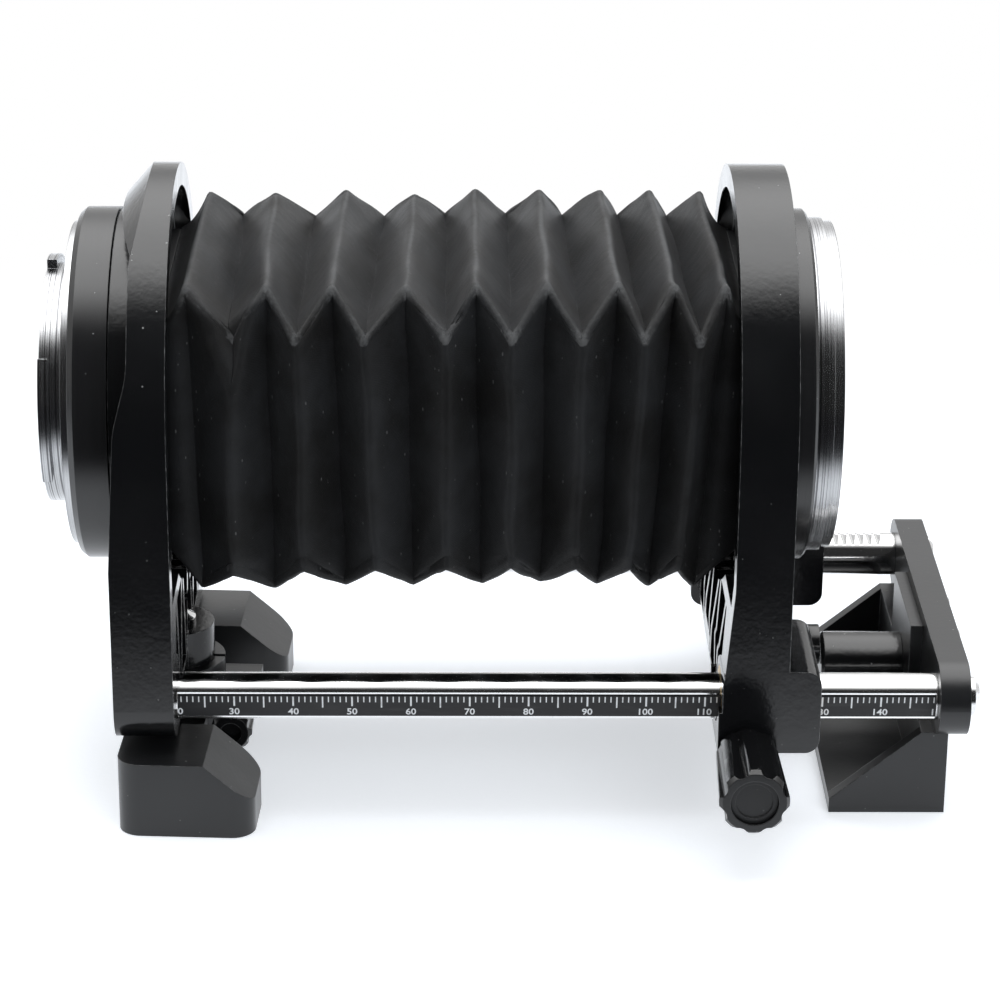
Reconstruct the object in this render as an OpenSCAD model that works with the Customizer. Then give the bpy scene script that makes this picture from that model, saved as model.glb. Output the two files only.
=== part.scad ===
// Macro bellows unit: two arched standards on a pair of rails, joined by a
// square pleated bellows.  The rear standard carries the camera bayonet and
// is fixed to the rails; the front standard carries the lens bayonet and is
// racked along them.
// Millimetres.  The origin is the tripod thread's mouth, on the swivel axis
// of the base.  +X runs along the rails towards the lens, +Z is up.

/* [Rails] */
// Diameter of both rails
rail_d = 8; // [7:0.5:9]
// Distance between the two rails, centre to centre
rail_spacing = 62.4; // [60:0.2:66]
// Height of the rails' axes above the surface
rail_z = 21.8; // [21:0.1:24]
// Free length of the rails, from the rear standard to the end bar
rail_free = 129.8; // [126:0.5:150]
// Depth of each rail in its socket in the rear standard
rail_seat = 7; // [5:0.5:8]
// Tooth module of the rack and its pinion
rack_module = 0.5; // [0.4:0.05:0.6]
// Number of teeth on the pinion
pinion_teeth = 16; // [14:1:18]

/* [Scale] */
// Width of the scale strip
strip_w = 4; // [3:0.1:4.2]
// Thickness of the scale strip
strip_t = 0.35; // [0.2:0.05:0.5]
// Distance from the rail's axis to the face of the strip
strip_face = 3.42; // [3.2:0.02:3.44]
// Tilt of the strip below the horizontal
strip_tilt = 8; // [0:1:20]

/* [Standards] */
// Height of the optical axis above the surface
axis_z = 67.2; // [66:0.2:72]
// Radius of the metal round each rail, at the lower corners of a standard
leg_r = 7; // [6.4:0.1:8]
// Thickness of the rear standard at its foot
rear_t = 10.2; // [10:0.1:12]
// Thickness of the front standard
front_t = 9.6; // [9:0.1:11]
// Distance between the inner faces of the two standards
inner_gap = 94.3; // [93:0.1:95]
// Width of the rim round the recess that takes the bellows
rim_w = 4; // [3:0.1:5]
// Depth of that recess
recess_depth = 3; // [2:0.1:3.2]
// Room below the bellows frame, down to the recess's lower edge
recess_room = 7; // [5:0.1:8]
// Depth of the triangular pockets between the ribs
pocket_depth = 5.5; // [3:0.1:6]
// Thickness of the ribs between those pockets
rib_t = 1.7; // [1.2:0.1:2.4]

/* [Bellows] */
// Number of pleats
pleats = 9; // [6:1:12]
// Depth of a fold, from its ridge to its valley
fold_depth = 6.6; // [4:0.1:7]
// How far the outer folds at the sides stay inside the standards' sides
fold_side_gap = 5; // [4:0.1:8]
// How far the corners of the outer folds at the top stay inside the standards' round tops
fold_top_gap = 0.9; // [0.5:0.1:3]
// Thickness of the bellows cloth, measured across the unit
cloth_t = 0.9; // [0.6:0.1:1.2]
// How far the pleats are drawn towards the lens, as a share of the length
pleat_drift = 0.05; // [0:0.01:0.08]
// Thickness of each bellows frame
frame_t = 1.5; // [1:0.1:2]
// How far each frame stands out above and below the inner folds
frame_over = 1; // [0.5:0.1:2]
// Width of each frame's rim
frame_w = 5.3; // [4:0.1:6]
// Radius of the frames' corners
frame_corner = 3; // [1:0.5:6]
// Gap between those corners and the arch of the recess
frame_gap = 2.4; // [1.5:0.1:4]
// How far the cloth's glued ends stay inside the frames' edges
glue_edge = 0.8; // [0.4:0.1:1.5]

/* [Camera mount] */
// Radius of the black turning ring
cam_ring_r = 30.5; // [30:0.1:31]
// Thickness of the turning ring
cam_ring_t = 6.6; // [5:0.1:8]
// Radius of the chromed flange
cam_flange_r = 28; // [27:0.1:29]
// Thickness of that flange
cam_flange_t = 1.3; // [1:0.1:2]
// Radius of the bayonet collar
collar_r = 20.7; // [20.4:0.1:21.2]
// Radius over the three bayonet lugs
lug_r = 22.3; // [22:0.1:23]
// Length of the collar
collar_len = 4.4; // [4:0.1:6]
// Thickness of the lugs
lug_t = 1.7; // [1.2:0.1:2]
// Radius of the light path through the camera mount
cam_bore_r = 19.4; // [18.8:0.1:19.6]

/* [Lens mount] */
// Radius of the black lens ring
lens_ring_r = 30.5; // [30:0.1:31]
// Thickness of the lens ring
lens_ring_t = 3.9; // [3.5:0.1:5]
// Radius of the chromed flange at the ring
lens_flange_r = 29; // [28.5:0.1:30]
// Thickness of the chromed flange
lens_flange_t = 4.5; // [4:0.1:5.5]
// Radius of the lens throat
throat_r = 22.6; // [22.4:0.1:23]
// Radius inside the three claws of the throat
claw_r = 21; // [20.6:0.1:21.4]

/* [Drive and locks] */
// Distance from the front standard's outer face back to the pinion's axis
pinion_back = 1; // [0:0.5:3]
// Radius of the focus knob
focus_knob_r = 7.5; // [6:0.1:8]
// Length of the focus knob
focus_knob_len = 16; // [12:0.5:20]
// Radius of the lock knob at its outer end
lock_knob_r = 5.9; // [5.5:0.1:6.4]
// Length of the lock knob
lock_knob_len = 18.8; // [16:0.2:20]
// Depth of the lock knob's axis below the rail's axis
lock_drop = 7.4; // [7.2:0.1:8]
// Radius of the lock screw
lock_screw_r = 2.5; // [2.2:0.1:2.6]
// Travel of the front standard towards the camera
slide_travel = 75; // [60:1:76]

/* [End bracket] */
// Thickness of the end bar
bar_t = 5.2; // [4:0.1:6]
// Radius of the end bar's round ends
bar_r = 6.5; // [6:0.1:7]
// Length of the end foot's base plate
foot_len = 20; // [18:0.5:22]
// Thickness of the end foot's base plate
foot_plate_t = 2.6; // [2:0.1:3.2]
// Thickness of the end foot's upright wall
foot_wall_t = 4.6; // [3.5:0.1:5]
// Thickness of the end foot's gussets
gusset_t = 2.5; // [1.5:0.1:3]
// Radius of the stop post
stop_r = 5.9; // [5:0.1:6.2]
// Length of the stop post
stop_len = 14.6; // [12:0.2:16]
// Height of the stop post's axis
stop_z = 13.4; // [12:0.1:14]

/* [Tripod base] */
// Gap between the feet and the rear standard above them
foot_gap = 1.4; // [0.6:0.1:2.5]
// Length of each foot along the rails
base_len = 23.4; // [22:0.2:27]
// Width of each foot
base_foot_w = 16.4; // [14:0.2:18]
// Distance from the swivel axis to the front foot's outer face
front_reach = 41.4; // [39:0.2:43]
// Distance from the swivel axis to the rear foot's outer face
rear_reach = 33; // [31:0.2:41]
// Radius of the feet's upright edges
foot_edge_r = 4; // [2:0.5:5]
// Radius of the swivel hub
hub_r = 8.7; // [8.4:0.1:9]
// Height of the swivel hub
hub_h = 15.1; // [14.6:0.1:15.2]
// Radius of the swivel post
post_r = 4.5; // [4:0.1:5]
// Radius of the 1/4 inch tripod thread
tripod_r = 3.175; // [3.175:0.001:3.175]
// Depth of the tripod thread
tripod_len = 6.6; // [6:0.1:6.8]
// Turn of the base in its rest position
base_turn = -3; // [-10:1:10]
// Radius of the base's clamp knob
clamp_knob_r = 3.7; // [3:0.1:4]

/* [Hidden] */
$fn = 96;

eps = 0.01;
run_clear = 0.05;          // radial clearance of everything that turns or slides
face_gap = 0.2;            // clearance between faces of bodies that move apart
over = 1;                  // how far a cut runs past the face that it opens

rail_r = rail_d / 2;
rail_y = rail_spacing / 2;
arch_r = rail_y + leg_r;   // half a standard's width, and the radius of its top

// places along X
rear_in = 2.5;
rear_out = rear_in - rear_t;
front_in = rear_in + inner_gap;
front_out = front_in + front_t;
rail_x0 = rear_in - rail_seat;
bar_x0 = rear_in + rail_free;
bar_x1 = bar_x0 + bar_t;
standard_h = axis_z + arch_r;
standard_bottom = rail_z - leg_r;

// grub screws that hold the rails in the rear standard
grub_r = 1.5;
grub_sunk = 0.4;
grub_x = rail_x0 + rail_seat / 2.8;

// scoop and shoulder of the rear standard's outer face
taper = 1.3;
scoop = 2.5;
taper_z0 = axis_z - 20;
taper_z1 = axis_z + 2;
scoop_z1 = axis_z + 16;
scoop_top = axis_z + arch_r - 7.7;
scoop_rise = 2.5;
bevel_drop = 12;           // the bevel's cone is centred this far below the optical axis
bevel_r = 45.2;            // its radius in the plane of the tapered face
bevel_slope = 1.12;        // its radius grows by this for each unit along X
bevel_len = 4.9;

// recess for the bellows frame, whose corners clear its arch
fold_out_w = arch_r - fold_side_gap;
fold_in_w = fold_out_w - fold_depth;
fold_out_h = sqrt(pow(arch_r - fold_top_gap, 2) - pow(fold_in_w, 2));
fold_in_h = fold_out_h - fold_depth;
frame_half_h = fold_in_h + frame_over;
frame_half_w = frame_corner + sqrt(pow(arch_r - rim_w - frame_gap - frame_corner, 2)
                                   - pow(frame_half_h - frame_corner, 2));
recess_drop = frame_half_h + recess_room;

// ribs below the bellows
rib_bottom = rail_z - leg_r / 2;
rib_top = axis_z - recess_drop - rim_w / 2;
rib_reach = arch_r - rim_w;
rib_cells = 5;

// bellows
bellows_x0 = rear_in - recess_depth + frame_t;
bellows_x1 = front_in + recess_depth - frame_t;
bellows_len = bellows_x1 - bellows_x0;
stations = 2 * pleats + 1;

// rack and pinion, on the rear rail's upper side
pitch = PI * rack_module;
pinion_r = rack_module * pinion_teeth / 2;
rack_line = rail_z + rail_r - rack_module;
pinion_x = front_out - pinion_back;
pinion_z = rack_line + pinion_r;
pinion_w = 6;
tooth_slack = 0.08;
rack_root = 1.25 * rack_module;
pressure = 20;
teeth_before = ceil((slide_travel + 8) / pitch);
teeth_after = floor((bar_x0 - 2.2 - pinion_x) / pitch);

// lower part of the front standard, and its bearing housings
front_foot = 3.7;
front_house_reach = 5.5;
rear_house_reach = 12;
flare_z = rail_z + 3;
flare_end = rail_z + 22;
house_y0 = rail_y - 7.2;
front_house_y1 = 15 - rail_y;
front_house_x1 = front_out + front_house_reach;
rear_house_x0 = front_in - 2.9;
rear_house_x1 = front_out + rear_house_reach;
house_bottom = rail_z - 7.5;
house_top = rail_z + 7.6;
drive_half = 8;
drive_top = pinion_z + pinion_r + rack_module + 2.2;
flare = 1.6;
rail_room = 0.4;           // what the housings clear the rails by between their bushes
bush_len = 4;
bush_wall = 1.2;
bush_r = rail_r + run_clear + bush_wall;
shaft_r = 2.5;
bush_seat_r = pinion_r + rack_module + 0.4;
bush_flange = 1.2;
focus_knob_y0 = arch_r + bush_flange + face_gap;
focus_cap_r = focus_knob_r - 2.6;
shaft_seat = 2;            // wall left behind the shaft's inner end
knob_crown = 3;            // what a knob has past the end of its shaft
cap_sunk = 1.6;            // depth of the caps' seats in the knobs' ends

// lock under the front rail
lock_x = front_in + 2.7;
lock_z = rail_z - lock_drop;
pad_r = 1.75;
pad_bore_r = pad_r + run_clear;
// the inner front bush goes on past the pad, which comes up through it
inner_bush_x0 = front_in - flare;
inner_bush_len = lock_x + pad_bore_r + bush_wall - inner_bush_x0;
lock_neck_r = lock_screw_r - 0.9;
lock_boss_r = lock_screw_r + 2.4;
lock_in = 17;
lock_knob_y1 = -arch_r - face_gap;
lock_cap_r = lock_knob_r - 1.9;

// camera mount
spigot_r = 24;
cam_ring_x0 = rear_out - face_gap - cam_ring_t;
cam_face = cam_ring_x0 - cam_flange_t;
keep_r = 27;
keep_t = 1.7;
keep_x1 = rear_in - recess_depth - face_gap;
keep_x0 = keep_x1 - keep_t;
lug_arc = 60;

// lens mount
lens_ring_x1 = front_out + lens_ring_t;
lens_face = lens_ring_x1 + lens_flange_t;
ring_groove = 0.7;
claw_t = 1.5;
claw_arc = 62;
lens_screw_turn = 15;
lens_screw_len = 7;
cam_screw_len = 5;
spring_ring_r = 24;
spring_ring_t = 0.6;
screw_circle = 25.4;
front_window_r = 21.6;

// lens release, on the side away from the scale
release_angle = -40;
release_pin_at = 25.8;
release_button_at = 33.7;
release_travel = 1.6;
release_arm_w = 4.6;
release_arm_t = 1.4;
release_pin_r = 1.2;
release_button_r = 2.5;
release_x0 = front_out - 3.6;

// end bracket
wall_x1 = bar_x0 + 2.4;
wall_x0 = wall_x1 - foot_wall_t;
foot_x0 = wall_x1 - foot_len;
foot_half = rail_y + 1;
wall_top = rail_z - bar_r;
tab_half = 12;
tab_rise = 11;
foot_screw_y = 7;
foot_screw_r = 1.2;
foot_head_r = 2.4;
bar_screw_r = 2;
bar_head_r = 3.4;
bar_screw_bite = 7.5;      // how deep those screws reach into the rails
screw_spare = 0.5;         // what a hole is deeper than its screw
foot_screw_skin = 0.4;     // what the foot's screws leave of its wall
stop_x0 = wall_x0 - stop_len;
stop_lug_r = 3.6;
stop_lug_z = stop_z + 3.9;

// tripod base
foot_h = standard_bottom - foot_gap;
base_x0 = -5.4;
slope_run = 8.4;
slope_drop = 7.2;
slope_x = base_x0 + base_len - slope_run;
beam_h = 6.4;
beam_half = 6;
post_flange_r = 6.1;
post_flange_z = 7;
post_flange_t = 1.4;
boss_r = 6.9;
swivel_head_r = 3.6;
swivel_screw_r = 2;
boss_z0 = hub_h + 0.1;
boss_top = boss_z0 + 6.6;
ear_x1 = 15;
ear_half = 4.6;
ear_z0 = 5;
ear_z1 = 11.4;
slit = 1;
clamp_x = 11.6;
clamp_z = 8.4;
clamp_screw_r = 1.5;
clamp_knob_len = 13;
clamp_knob_gap = 0.4;
clamp_knob_bore = 2.6;

module along_x(x0, x1) {
    translate([x0, 0, 0]) rotate([90, 0, 90]) linear_extrude(height = x1 - x0) children();
}

module along_y(y0, y1) {
    translate([0, y1, 0]) rotate([90, 0, 0]) linear_extrude(height = y1 - y0) children();
}

module x_rod(r, x0, x1, y = 0, z = 0) {
    translate([x0, y, z]) rotate([0, 90, 0]) cylinder(r = r, h = x1 - x0);
}

module y_rod(r, y0, y1, x = 0, z = 0) {
    translate([x, y0, z]) rotate([-90, 0, 0]) cylinder(r = r, h = y1 - y0);
}

module z_rod(r, z0, z1, x = 0, y = 0) {
    translate([x, y, z0]) cylinder(r = r, h = z1 - z0);
}

module block(x0, x1, y0, y1, z0, z1) {
    translate([x0, y0, z0]) cube([x1 - x0, y1 - y0, z1 - z0]);
}

// A rectangle whose four corners are round
module rounded(a0, a1, b0, b1, r) {
    translate([a0 + r, b0]) square([a1 - a0 - 2 * r, b1 - b0]);
    translate([a0, b0 + r]) square([a1 - a0, b1 - b0 - 2 * r]);
    for (a = [a0 + r, a1 - r], b = [b0 + r, b1 - r])
        translate([a, b]) circle(r);
}

// Front view of a standard: an arch on two straight sides, with its lower
// corners round about the rails
module standard_outline(bottom) {
    translate([0, axis_z]) circle(arch_r);
    translate([-arch_r, rail_z]) square([2 * arch_r, axis_z - rail_z]);
    for (s = [-1, 1])
        translate([s * rail_y, rail_z]) circle(leg_r);
    translate([-rail_y, bottom]) square([2 * rail_y, rail_z - bottom]);
}

// The recess that takes the bellows, one rim's width inside that outline
module recess_outline() {
    translate([0, axis_z]) circle(arch_r - rim_w);
    translate([-(arch_r - rim_w), axis_z - recess_drop])
        square([2 * (arch_r - rim_w), recess_drop]);
}

// One triangular pocket, with its point up or down
module pocket(y_mid, half, up) {
    inset = rib_t / 2;
    top = rib_top - inset;
    low = rib_bottom + inset;
    wide = half - 1.3 * rib_t;
    tip = up ? top : low;
    flat = up ? low : top;
    polygon([[y_mid - wide, flat], [y_mid + wide, flat], [y_mid + 0.6, tip], [y_mid - 0.6, tip]]);
}

// Zigzag ribs: pockets that point up and down by turns
module rib_pockets() {
    cell = 2 * rib_reach / rib_cells;
    difference() {
        union() {
            for (i = [0 : rib_cells - 1])
                pocket(-rib_reach + (i + 0.5) * cell, cell / 2, true);
            for (i = [1 : rib_cells - 1])
                pocket(-rib_reach + i * cell, cell / 2, false);
        }
        // the rails keep a round boss each, and the middle stays whole
        for (s = [-1, 1])
            translate([s * rail_y, rail_z]) circle(leg_r);
        translate([-boss_r, 0]) square([2 * boss_r, boss_top]);
    }
}

// Screws of a mount: heads on a circle, sunk flush into a face
module ring_screws(x_face, away, shank, count = 4, turn = 45) {
    for (i = [0 : count - 1])
        translate([x_face, 0, axis_z]) rotate([turn + i * 360 / count, 0, 0])
            translate([0, screw_circle, 0]) rotate([0, away * 90, 0]) {
                difference() {
                    translate([0, 0, -0.9]) cylinder(r1 = 0.7, r2 = 1.5, h = 0.9);
                    for (a = [0, 90])
                        rotate([0, 0, a]) translate([-0.9, -0.15, -0.35]) cube([1.8, 0.3, 0.4]);
                }
                translate([0, 0, -shank]) cylinder(r = 0.7, h = shank - 0.9);
            }
}

// The holes that those screws fill
module ring_screw_holes(x_face, away, shank, count = 4, turn = 45) {
    for (i = [0 : count - 1])
        translate([x_face, 0, axis_z]) rotate([turn + i * 360 / count, 0, 0])
            translate([0, screw_circle, 0]) rotate([0, away * 90, 0]) {
                translate([0, 0, -0.9]) cylinder(r1 = 0.7, r2 = 1.5, h = 0.9);
                translate([0, 0, -shank]) cylinder(r = 0.7, h = shank);
            }
}

// A wedge of a full turn, in the YZ plane about the optical axis
module sector(r, from, sweep) {
    translate([0, axis_z])
        polygon(concat([[0, 0]],
            [for (i = [0 : 6]) let(a = from + sweep * i / 6) [2 * r * cos(a), 2 * r * sin(a)]]));
}

// ---------------------------------------------------------------- standards

// Side view of what the rear standard loses behind its turning ring: a slight
// taper, then a smooth scoop, then a step back out to the shoulder
function ease(t) = (1 - cos(180 * t)) / 2;

module scoop_profile() {
    steps = 10;
    far = rear_out - 5;
    x_taper = rear_out + taper;
    x_deep = x_taper + scoop;
    curve = [for (i = [0 : steps])
        [x_taper + scoop * ease(i / steps), taper_z1 + (scoop_z1 - taper_z1) * i / steps]];
    polygon(concat(
        [[far, taper_z0], [rear_out, taper_z0]], curve,
        [[x_deep, scoop_top], [x_taper, scoop_top + scoop_rise], [x_taper, standard_h + 1],
         [far, standard_h + 1]]));
}

// What the bevel takes off the crown of the rear standard: all that is outside
// a cone, and it runs out where the scoop begins
module crown_bevel() {
    x_edge = rear_out + taper;
    difference() {
        block(x_edge - 1.5, x_edge + bevel_len, -arch_r - 1, arch_r + 1,
              axis_z + 26, standard_h + 1);
        translate([x_edge - 2.5, 0, axis_z - bevel_drop]) rotate([0, 90, 0])
            cylinder(r1 = bevel_r - 2.5 * bevel_slope,
                     r2 = bevel_r + (bevel_len + 1) * bevel_slope, h = bevel_len + 3.5);
    }
}

module rear_standard() color([0.07, 0.07, 0.08]) {
    difference() {
        union() {
            difference() {
                along_x(rear_out, rear_in) standard_outline(standard_bottom);
                along_y(-arch_r - 1, arch_r + 1) scoop_profile();
                crown_bevel();
            }
            x_rod(cam_ring_r - 0.4, rear_out, rear_in - recess_depth, z = axis_z);
            z_rod(boss_r, boss_z0, boss_top);
        }
        // recess for the bellows, and pockets between the ribs
        along_x(rear_in - recess_depth, rear_in + 1) recess_outline();
        difference() {
            along_x(rear_in - pocket_depth, rear_in + 1) rib_pockets();
            z_rod(boss_r, boss_z0, boss_top);
        }
        // room for the swivel screw's head and a driver
        block(-swivel_head_r - 0.8, rear_in + boss_r + 2, -swivel_head_r - 0.6,
              swivel_head_r + 0.6, boss_top, boss_top + 7);
        // the turning ring's spigot and its retaining ring
        x_rod(spigot_r + run_clear, rear_out - 1, rear_in, z = axis_z);
        x_rod(keep_r + face_gap, keep_x0 - face_gap, rear_in, z = axis_z);
        // rail sockets and their grub screws
        for (s = [-1, 1]) {
            x_rod(rail_r, rail_x0, rear_in + 1, s * rail_y, rail_z);
            z_rod(grub_r, standard_bottom - over, rail_z, grub_x, s * rail_y);
        }
        // room for the swivel hub, and the swivel screw's hole
        block(rear_out - 1, rear_in + 1, -rail_y + leg_r, rail_y - leg_r,
              standard_bottom - 1, boss_z0);
        z_rod(swivel_screw_r, boss_z0 - 1, boss_top + 1);
    }
}

module release_slot() {
    // a radial slot from the pin to the button, sunk in the outer face
    translate([0, 0, axis_z]) rotate([release_angle, 0, 0]) {
        block(release_x0 - release_travel - face_gap, front_out + 1, release_pin_at,
              release_button_at, -release_arm_w / 2 - face_gap, release_arm_w / 2 + face_gap);
        for (at = [release_pin_at, release_button_at])
            translate([0, at, 0])
                x_rod(release_arm_w / 2 + face_gap + 0.1, release_x0 - release_travel - face_gap,
                      front_out + 1);
    }
}

module front_housings() {
    // round the front rail
    along_y(-arch_r, front_house_y1) rounded(front_in - flare, front_house_x1, house_bottom,
                                             house_top, 2.5);
    // round the rear rail, raised over the pinion
    along_y(house_y0, arch_r) {
        rounded(rear_house_x0, rear_house_x1, house_bottom, house_top, 2.5);
        rounded(pinion_x - drive_half, pinion_x + drive_half, house_bottom, drive_top, 3);
    }
}

module front_standard() color([0.07, 0.07, 0.08]) {
    bottom = rail_z - front_foot;
    difference() {
        union() {
            intersection() {
                along_x(front_in - flare, front_out) standard_outline(bottom);
                along_y(-arch_r - 1, arch_r + 1) polygon([
                    [front_in - flare, 0], [front_out, 0],
                    [front_out, standard_h + over], [front_in, standard_h + over],
                    [front_in, flare_end], [front_in - flare, flare_z]]);
            }
            front_housings();
            // lock boss under the front rail
            y_rod(lock_boss_r, -arch_r, -arch_r + lock_in + 3, lock_x, lock_z);
            block(lock_x - lock_boss_r, lock_x + lock_boss_r, -arch_r, -arch_r + lock_in + 3,
                  lock_z, rail_z);
            // lug that meets the stop post
            x_rod(stop_lug_r, front_in, stop_x0 - face_gap, 0, stop_lug_z);
            block(front_in, front_out, -stop_lug_r, stop_lug_r, stop_lug_z, rail_z);
        }
        along_x(front_in - flare - 1, front_in + recess_depth) recess_outline();
        along_x(front_in - flare - 1, front_in + pocket_depth) rib_pockets();
        x_rod(front_window_r, front_in, front_out + over, z = axis_z);
        release_slot();
        // rails, with their bushes at the ends of the housings
        for (s = [-1, 1])
            x_rod(rail_r + rail_room, rear_house_x0 - over, rear_house_x1 + over, s * rail_y, rail_z);
        rail_bush_seats();
        // pinion, its inner bearing and its bush
        y_rod(bush_seat_r, rail_y - pinion_w / 2 - face_gap, arch_r + 1, pinion_x, pinion_z);
        y_rod(shaft_r + run_clear, house_y0 + shaft_seat, arch_r, pinion_x, pinion_z);
        // lock screw and its pad
        y_rod(lock_screw_r + run_clear, -arch_r - 1, -arch_r + lock_in, lock_x, lock_z);
        pad_bore();
    }
}

// ---------------------------------------------------------------- rails

module strip_flat(x0, x1) {
    // what is milled off the front rail to seat the scale strip
    translate([0, -rail_y, rail_z]) rotate([strip_tilt, 0, 0])
        block(x0, x1, -rail_r - 1, -strip_face + strip_t, -rail_r, rail_r);
}

module front_rail() color([0.85, 0.86, 0.88]) {
    difference() {
        x_rod(rail_r, rail_x0, bar_x0, -rail_y, rail_z);
        strip_flat(rear_in + 0.4, bar_x0 - 0.4);
        x_rod(bar_screw_r, bar_x0 - bar_screw_bite - screw_spare, bar_x0 + over, -rail_y, rail_z);
    }
}

module scale_strip() color([0.05, 0.05, 0.06]) {
    translate([0, -rail_y, rail_z]) rotate([strip_tilt, 0, 0])
        block(rear_in + 0.4, bar_x0 - 0.4, -strip_face, -strip_face + strip_t,
              -strip_w / 2, strip_w / 2);
}

// Half the width of a rack gap at a height above the pitch line
function gap_half(h) = pitch / 4 + tooth_slack / 2 + h * tan(pressure);

module rack_comb() {
    // the gaps of the rack, joined above the teeth into one outline
    above = rack_module + 1;
    polygon(concat(
        [for (k = [-teeth_before : teeth_after], p = [
            [-gap_half(rack_module), rack_module], [-gap_half(-rack_root), -rack_root],
            [gap_half(-rack_root), -rack_root], [gap_half(rack_module), rack_module]])
            [pinion_x + k * pitch + p[0], rack_line + p[1]]],
        [[pinion_x + (teeth_after + 0.5) * pitch, rack_line + rack_module],
         [pinion_x + (teeth_after + 0.5) * pitch, rack_line + above],
         [pinion_x - (teeth_before + 0.5) * pitch, rack_line + above],
         [pinion_x - (teeth_before + 0.5) * pitch, rack_line + rack_module]]));
}

module rack_rail() color([0.85, 0.86, 0.88]) {
    difference() {
        x_rod(rail_r, rail_x0, bar_x0, rail_y, rail_z);
        along_y(rail_y - rail_r - 1, rail_y + rail_r + 1) rack_comb();
        x_rod(bar_screw_r, bar_x0 - bar_screw_bite - screw_spare, bar_x0 + over, rail_y, rail_z);
    }
}

module rail_grub_screws() color([0.3, 0.3, 0.32]) {
    for (s = [-1, 1]) difference() {
        z_rod(grub_r, standard_bottom + grub_sunk, rail_z - rail_r, grub_x, s * rail_y);
        translate([grub_x, s * rail_y, standard_bottom])
            cylinder(r = grub_r / 2, h = grub_r, $fn = 6);
    }
}

module pad_bore() z_rod(pad_bore_r, lock_z, rail_z, lock_x, -rail_y);

module bush(x0, y, length = bush_len) {
    difference() {
        x_rod(bush_r, x0, x0 + length, y, rail_z);
        x_rod(rail_r + run_clear, x0 - 1, x0 + length + 1, y, rail_z);
    }
}

module bush_seat(x0, y, length = bush_len)
    x_rod(bush_r, x0 - 0.001, x0 + length + 0.001, y, rail_z);

module rail_bush_seats() {
    bush_seat(inner_bush_x0, -rail_y, inner_bush_len);
    bush_seat(front_house_x1 - bush_len, -rail_y);
    for (x0 = [rear_house_x0, rear_house_x1 - bush_len])
        bush_seat(x0, rail_y);
}

module front_rail_bushes() color([0.72, 0.55, 0.25]) {
    difference() {
        bush(inner_bush_x0, -rail_y, inner_bush_len);
        pad_bore();
    }
    bush(front_house_x1 - bush_len, -rail_y);
}

module rack_rail_bushes() color([0.72, 0.55, 0.25]) {
    bush(rear_house_x0, rail_y);
    bush(rear_house_x1 - bush_len, rail_y);
}

// ---------------------------------------------------------------- bellows

// Where station i of the bellows lies, as a share of its length
function along(i) = let(t = i / (stations - 1)) t + pleat_drift * sin(180 * pow(t, 1.35));

// Half the height and half the width of the bellows at a station: the top
// and bottom folds stand out where the side folds are drawn in
function glued(i) = i == 0 || i == stations - 1;
function half_h(i) = glued(i) ? frame_half_h - glue_edge : (i % 2 == 1) ? fold_out_h : fold_in_h;
function half_w(i) = glued(i) ? frame_half_w - glue_edge : (i % 2 == 1) ? fold_in_w : fold_out_w;

function fold_ring(i, inset) = let(h = half_h(i) - inset, w = half_w(i) - inset,
                                   x = bellows_x0 + bellows_len * along(i))
    [[x, -w, axis_z - h], [x, w, axis_z - h], [x, w, axis_z + h], [x, -w, axis_z + h]];

module bellows() color([0.12, 0.12, 0.13]) {
    outer = [for (i = [0 : stations - 1], p = fold_ring(i, 0)) p];
    inner = [for (i = [0 : stations - 1], p = fold_ring(i, cloth_t)) p];
    n = len(outer);
    last = stations - 1;
    polyhedron(
        points = concat(outer, inner),
        faces = concat(
            [for (i = [0 : last - 1], k = [0 : 3]) let(a = 4 * i + k, b = 4 * i + (k + 1) % 4)
                [a, b, b + 4, a + 4]],
            [for (i = [0 : last - 1], k = [0 : 3]) let(a = n + 4 * i + k, b = n + 4 * i + (k + 1) % 4)
                [a + 4, b + 4, b, a]],
            [for (k = [0 : 3]) let(j = (k + 1) % 4) [k + n, j + n, j, k]],
            [for (k = [0 : 3]) let(a = 4 * last + k, b = 4 * last + (k + 1) % 4)
                [a, b, b + n, a + n]]));
}

module bellows_frame(x0) {
    along_x(x0, x0 + frame_t) difference() {
        translate([0, axis_z])
            rounded(-frame_half_w, frame_half_w, -frame_half_h, frame_half_h, frame_corner);
        translate([0, axis_z])
            square([2 * (frame_half_w - frame_w), 2 * (frame_half_h - frame_w)], center = true);
    }
}

module rear_bellows_frame() color([0.15, 0.15, 0.16]) bellows_frame(rear_in - recess_depth);

module front_bellows_frame() color([0.15, 0.15, 0.16])
    bellows_frame(front_in + recess_depth - frame_t);

// ---------------------------------------------------------------- camera mount

module camera_ring() color([0.08, 0.08, 0.09]) {
    difference() {
        union() {
            x_rod(cam_ring_r, cam_ring_x0 + 1, cam_ring_x0 + cam_ring_t, z = axis_z);
            translate([cam_ring_x0, 0, axis_z]) rotate([0, 90, 0])
                cylinder(r1 = cam_ring_r - 0.8, r2 = cam_ring_r, h = 1);
            x_rod(spigot_r, cam_ring_x0, keep_x0, z = axis_z);
        }
        x_rod(cam_bore_r, cam_ring_x0 - over, keep_x0 + over, z = axis_z);
        ring_screw_holes(cam_face, -1, cam_screw_len);
    }
}

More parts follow.
